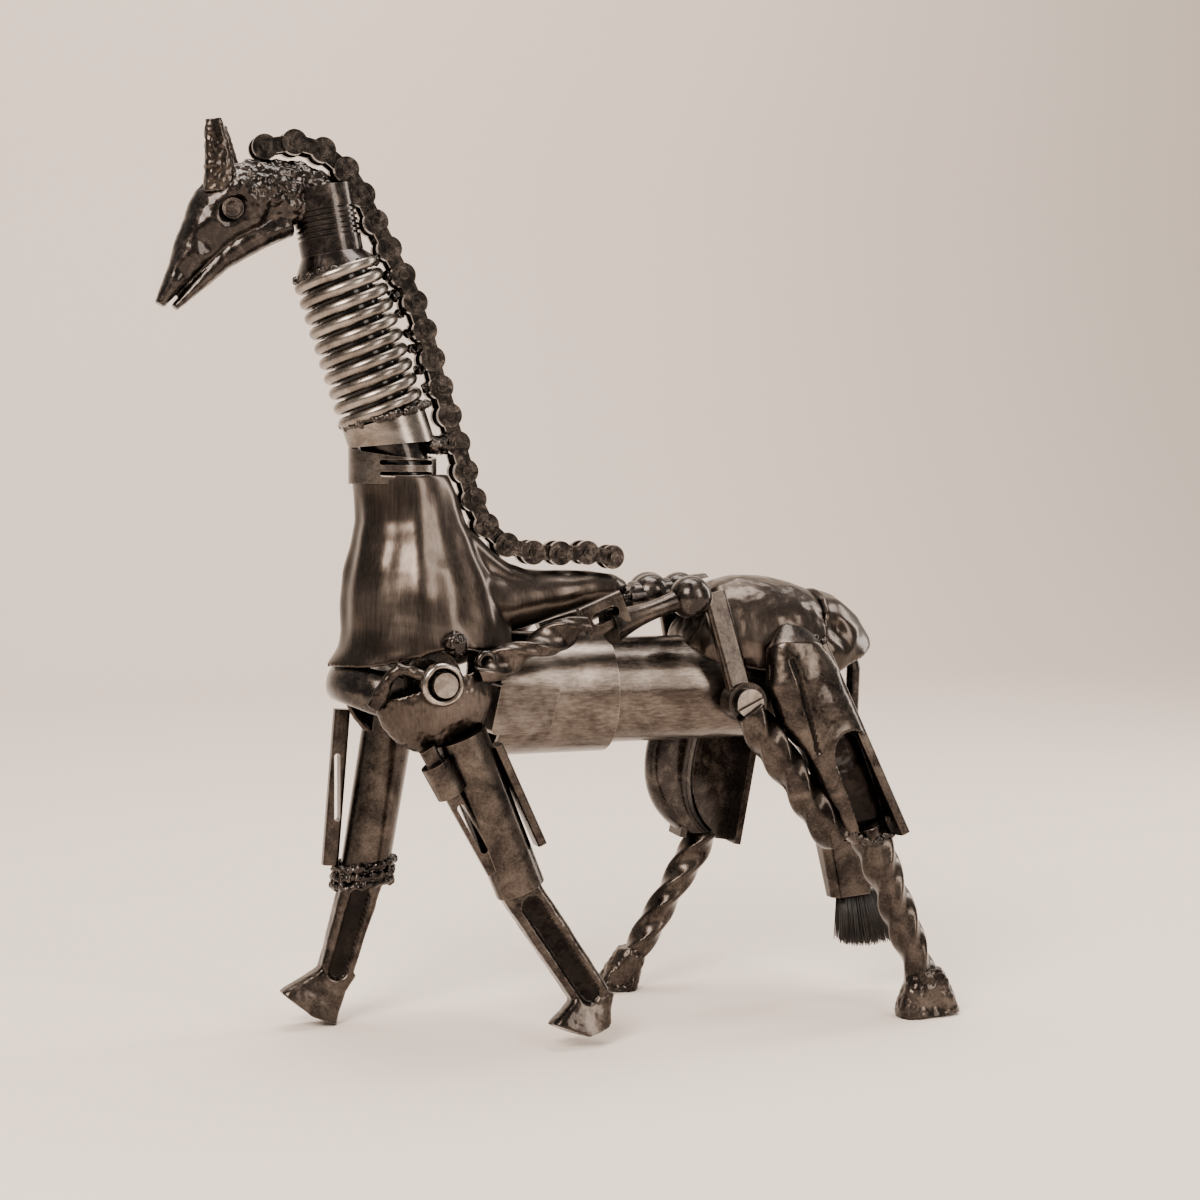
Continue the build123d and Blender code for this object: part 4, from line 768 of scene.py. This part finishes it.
def hind_hoof(name, replaced, ankle, sole, size, spread, thickness):
    """A lump that flares from the ankle to a flat sole on the ground."""
    bm = bmesh.new()
    skin(bm, [
        (at(ankle, 0, 0, 3), thickness * 0.5, size * 0.45, 0.8),
        (ankle, thickness * 0.55, size * 0.52, 0.75),
        (ankle.lerp(sole, 0.5), thickness * 0.58, spread * 0.42, 0.65),
        (ankle.lerp(sole, 0.85), thickness * 0.62, spread * 0.49, 0.62),
        (sole, thickness * 0.62, spread * 0.5, 0.6),
    ], segments=48)
    bmesh.ops.subdivide_edges(bm, edges=bm.edges[:], cuts=2, use_grid_fill=True)
    press(bm, at(sole, 0, LEFT * thickness * 0.6, 5), 7, (0, 2.4, 0))
    for vert in bm.verts:
        vert.co.z = max(vert.co.z, 0.0)
    finish_piece(bm, name, FORGED, replaced, voxel=0.7, relax=1,
                 rough=[dict(grain=6, depth=0.7, where=off_the_ground),
                        dict(grain=1.8, depth=0.4, where=off_the_ground)])


hind_hoof("near_hind_hoof", ("hind_left_hoof",), at(GROUND_HAUNCH, 83.5, -46, 18),
          at(GROUND_HAUNCH, 84.7, -47, 0), 17, 30, 13)
hind_hoof("far_hind_hoof", ("hind_right_hoof",), at(GROUND_HAUNCH, -22, 47, 17),
          at(GROUND_HAUNCH, -30, 47, 0), 13, 20, 12)

# %% [markdown]
# ## The tail
# The tail is a flat paintbrush. The tuft is a bundle of tapered bristles, each a cone of five
# sides, splayed a little more towards the edges and cut to uneven lengths. Hair particles would
# not reach the exported mesh, so the bristles are real geometry.

# %% Brush tuft
BRISTLES = 900
BRISTLE_RADII = (0.42, 0.12)    # thicker than real ones, so that they show
tuft_low, tuft_high = (Vector(corner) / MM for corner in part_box("tail_bristles"))
tuft_mid = (tuft_low + tuft_high) / 2
half = (tuft_high - tuft_low) / 2
tuft = bmesh.new()
for _ in range(BRISTLES):
    across, deep = random.uniform(-1, 1), random.uniform(-1, 1)
    root = Vector((tuft_mid.x - 2 + across * 8.5, deep * 4.0, tuft_high.z + 1))
    tip = Vector((tuft_mid.x + 2 + across * (half.x - 2.2),
                  deep * (half.y - 0.6) + random.uniform(-0.8, 0.8),
                  tuft_low.z + random.uniform(0.2, 3.5) + 1.6 * abs(across)))
    turn = (tip - root).to_track_quat("Z", "Y").to_matrix().to_4x4()
    bmesh.ops.create_cone(tuft, cap_ends=True, segments=5, radius1=BRISTLE_RADII[0] * MM,
                          radius2=BRISTLE_RADII[1] * MM, depth=(tip - root).length * MM,
                          matrix=Matrix.Translation((root + tip) / 2 * MM) @ turn)
bristle, _, bristle_shader = blank_material("black_brush_bristle")
bristle_shader.inputs["Base Color"].default_value = linear("#14110f")
bristle_shader.inputs["Roughness"].default_value = 0.45
finish_piece(tuft, "tail_tuft", bristle, ("tail_bristles",))

# %% [markdown]
# ## Weld beads
# Where two scraps meet, the welder left a lumpy bead. Each bead is a row of small spheres strung
# between two places, jittered, then fused with a fine voxel remesh and roughened.

# %% Weld beads
def bead(name, stops, radius, spacing=1.3, replaced=()):
    """A lumpy weld along a chain of places."""
    bm = bmesh.new()
    for start, end in zip(stops, stops[1:]):
        count = max(2, int((end - start).length / (radius * spacing)))
        for step in range(count + 1):
            jitter = Vector((random.uniform(-1, 1), random.uniform(-1, 1), random.uniform(-1, 1)))
            spot = start.lerp(end, step / count) + jitter * radius * 0.35
            size = radius * random.uniform(0.75, 1.2)
            bmesh.ops.create_icosphere(bm, subdivisions=2, radius=size * MM,
                                       matrix=Matrix.Translation(spot * MM))
    finish_piece(bm, name, BLACK_CAST, replaced, voxel=0.5, relax=1,
                 rough=[dict(grain=2.0, depth=0.8), dict(grain=0.9, depth=0.35)])


def arc_stops(centre, radii, way_a, start, end, count, way_b=(0, 1, 0)):
    """Places along an elliptical arc spanned by two directions, angles in degrees."""
    stops = []
    for step in range(count + 1):
        angle = math.radians(start + (end - start) * step / count)
        stops.append(centre + Vector(way_a) * radii[0] * math.cos(angle)
                     + Vector(way_b) * radii[1] * math.sin(angle))
    return stops


collar_mid = middle("neck_lower_collar")
ring_mid = middle("neck_top_ring")
LEAN = Vector((-0.28, 0, 0.96))     # up the neck
AFT = Vector((0.96, 0, 0.28))       # square to it, towards the mane
bead("weld_spring_foot", arc_stops(collar_mid + LEAN * 5, (18.4, 18.4), AFT, 150, 395, 14), 1.7)
bead("weld_spring_top", arc_stops(ring_mid - LEAN * 2.5, (17.0, 17.0), AFT, 0, 360, 20), 1.8)
for name, anchor, offsets, radius in (
        ("weld_chain_sleeve", middle("neck_slotted_sleeve"),
         ((16, -7, 8), (21, -4, 10), (25, -1, 10)), 4.2),
        ("weld_shoulder_ball", FRONT, ((7.5, -36, 26), (8.5, -35, 25)), 4.6),
        ("weld_withers_tip", FRONT, ((92, -4, 40), (102, -3, 44), (109, 0, 44)), 3.4),
        ("weld_hip_top", HAUNCH, ((18, -33, 20), (28, -35, 25), (38, -33, 21)), 2.2),
        ("weld_near_knee", GROUND_HAUNCH, ((48, -48, 84), (55, -48, 79), (66, -47, 82)), 2.0)):
    bead(name, [at(anchor, *offset) for offset in offsets], radius)
fore_knee = at(GROUND_FRONT, -15, 35, 62)
wraps = []
for rise in (0, 4, 8):
    wraps += arc_stops(at(fore_knee, 0.1 * rise, 0, rise), (12.6, 11.5), (1, 0, 0.12), 180, 540, 22)
bead("far_knee_wrap", wraps, 1.7, replaced=("front_right_knee_band",))
MANE_WELDS = 7
spring_low, spring_high = collar_mid + LEAN * 8, ring_mid - LEAN * 6
for number in range(MANE_WELDS):
    spot = spring_low.lerp(spring_high, (number + 0.4) / MANE_WELDS) + AFT * 20.5
    bead(f"weld_mane_{number}", [at(spot, 0, -2.5, 0), at(spot, 0, 2.5, 1)], 2.0)

# %% [markdown]
# ## The stage
# The figure stands on pale warm plaster that sweeps up into a wall. The sweep is one grid face: its
# back edge is extruded upwards and bevelled wide, so no corner line shows behind the figure.

# %% Floor and wall
FLOOR_HALF, FLOOR_FRONT, WALL_BACK, WALL_HEIGHT, SWEEP = 3.0, -3.0, 2.3, 3.0, 0.8
plaster, _, plaster_shader = blank_material("warm_plaster")
plaster_shader.inputs["Base Color"].default_value = linear("#eee3da")
plaster_shader.inputs["Roughness"].default_value = 0.85
sweep = bmesh.new()
bmesh.ops.create_grid(sweep, x_segments=1, y_segments=1, size=FLOOR_HALF)
back_edge = [e for e in sweep.edges if all(v.co.y > 0 for v in e.verts)]
for vert in sweep.verts:
    vert.co.y = WALL_BACK if vert.co.y > 0 else FLOOR_FRONT
wall = bmesh.ops.extrude_edge_only(sweep, edges=back_edge)
wall_top = [item for item in wall["geom"] if isinstance(item, bmesh.types.BMVert)]
bmesh.ops.translate(sweep, verts=wall_top, vec=(0, 0, WALL_HEIGHT))
bmesh.ops.bevel(sweep, geom=back_edge, offset=SWEEP, segments=16, profile=0.5, affect="EDGES",
                material=-1)
floor_mesh = bpy.data.meshes.new("studio_sweep")
sweep.to_mesh(floor_mesh)
sweep.free()
floor_mesh.materials.append(plaster)
for polygon in floor_mesh.polygons:
    polygon.use_smooth = True
floor = bpy.data.objects.new("studio_sweep", floor_mesh)
bpy.context.scene.collection.objects.link(floor)
print("sweep:", len(floor_mesh.polygons), "faces")

# %% [markdown]
# ## The light
# Metal shows what it mirrors, so the lights are big and soft. A large one stands high on the left
# as the key, and a tall weak one like a window on the right. One above draws the back, a slim one
# behind draws the rim, and one washes the wall. A warm even sky fills the rest.

# %% Lights
def soft_light(name, place, target, size, watts, tint="#fff1e4"):
    """A rectangular soft box at place, facing target."""
    lamp = bpy.data.lights.new(name, "AREA")
    lamp.shape = "RECTANGLE"
    lamp.size, lamp.size_y = size
    lamp.energy = watts
    lamp.color = linear(tint)[:3]
    holder = bpy.data.objects.new(name, lamp)
    holder.location = place
    holder.rotation_euler = (Vector(target) - Vector(place)).to_track_quat("-Z", "Y").to_euler()
    bpy.context.scene.collection.objects.link(holder)
    print(f"{name}: {watts} W")


CHEST = (0, 0, 0.2)
LOW_WALL = (0.3, 2.3, 0.5)
soft_light("key_left_high", (-0.9, -0.9, 1.1), CHEST, (0.7, 0.7), 34, "#fff0e2")
soft_light("window_right", (0.75, -1.3, 0.75), CHEST, (0.45, 1.1), 14)
soft_light("top", (0.1, 0.1, 1.4), CHEST, (0.9, 0.5), 16, "#fff6ee")
soft_light("rim_right", (1.2, 0.2, 0.6), CHEST, (0.3, 1.0), 8)
soft_light("wall_wash", (0.3, 0.9, 1.9), LOW_WALL, (2.2, 0.6), 34)
sky = bpy.data.worlds.new("warm_sky")
bpy.context.scene.world = sky
sky.use_nodes = True
sky_inputs = sky.node_tree.nodes["Background"].inputs
sky_inputs["Color"].default_value = linear("#f2e9e0")
sky_inputs["Strength"].default_value = 0.5
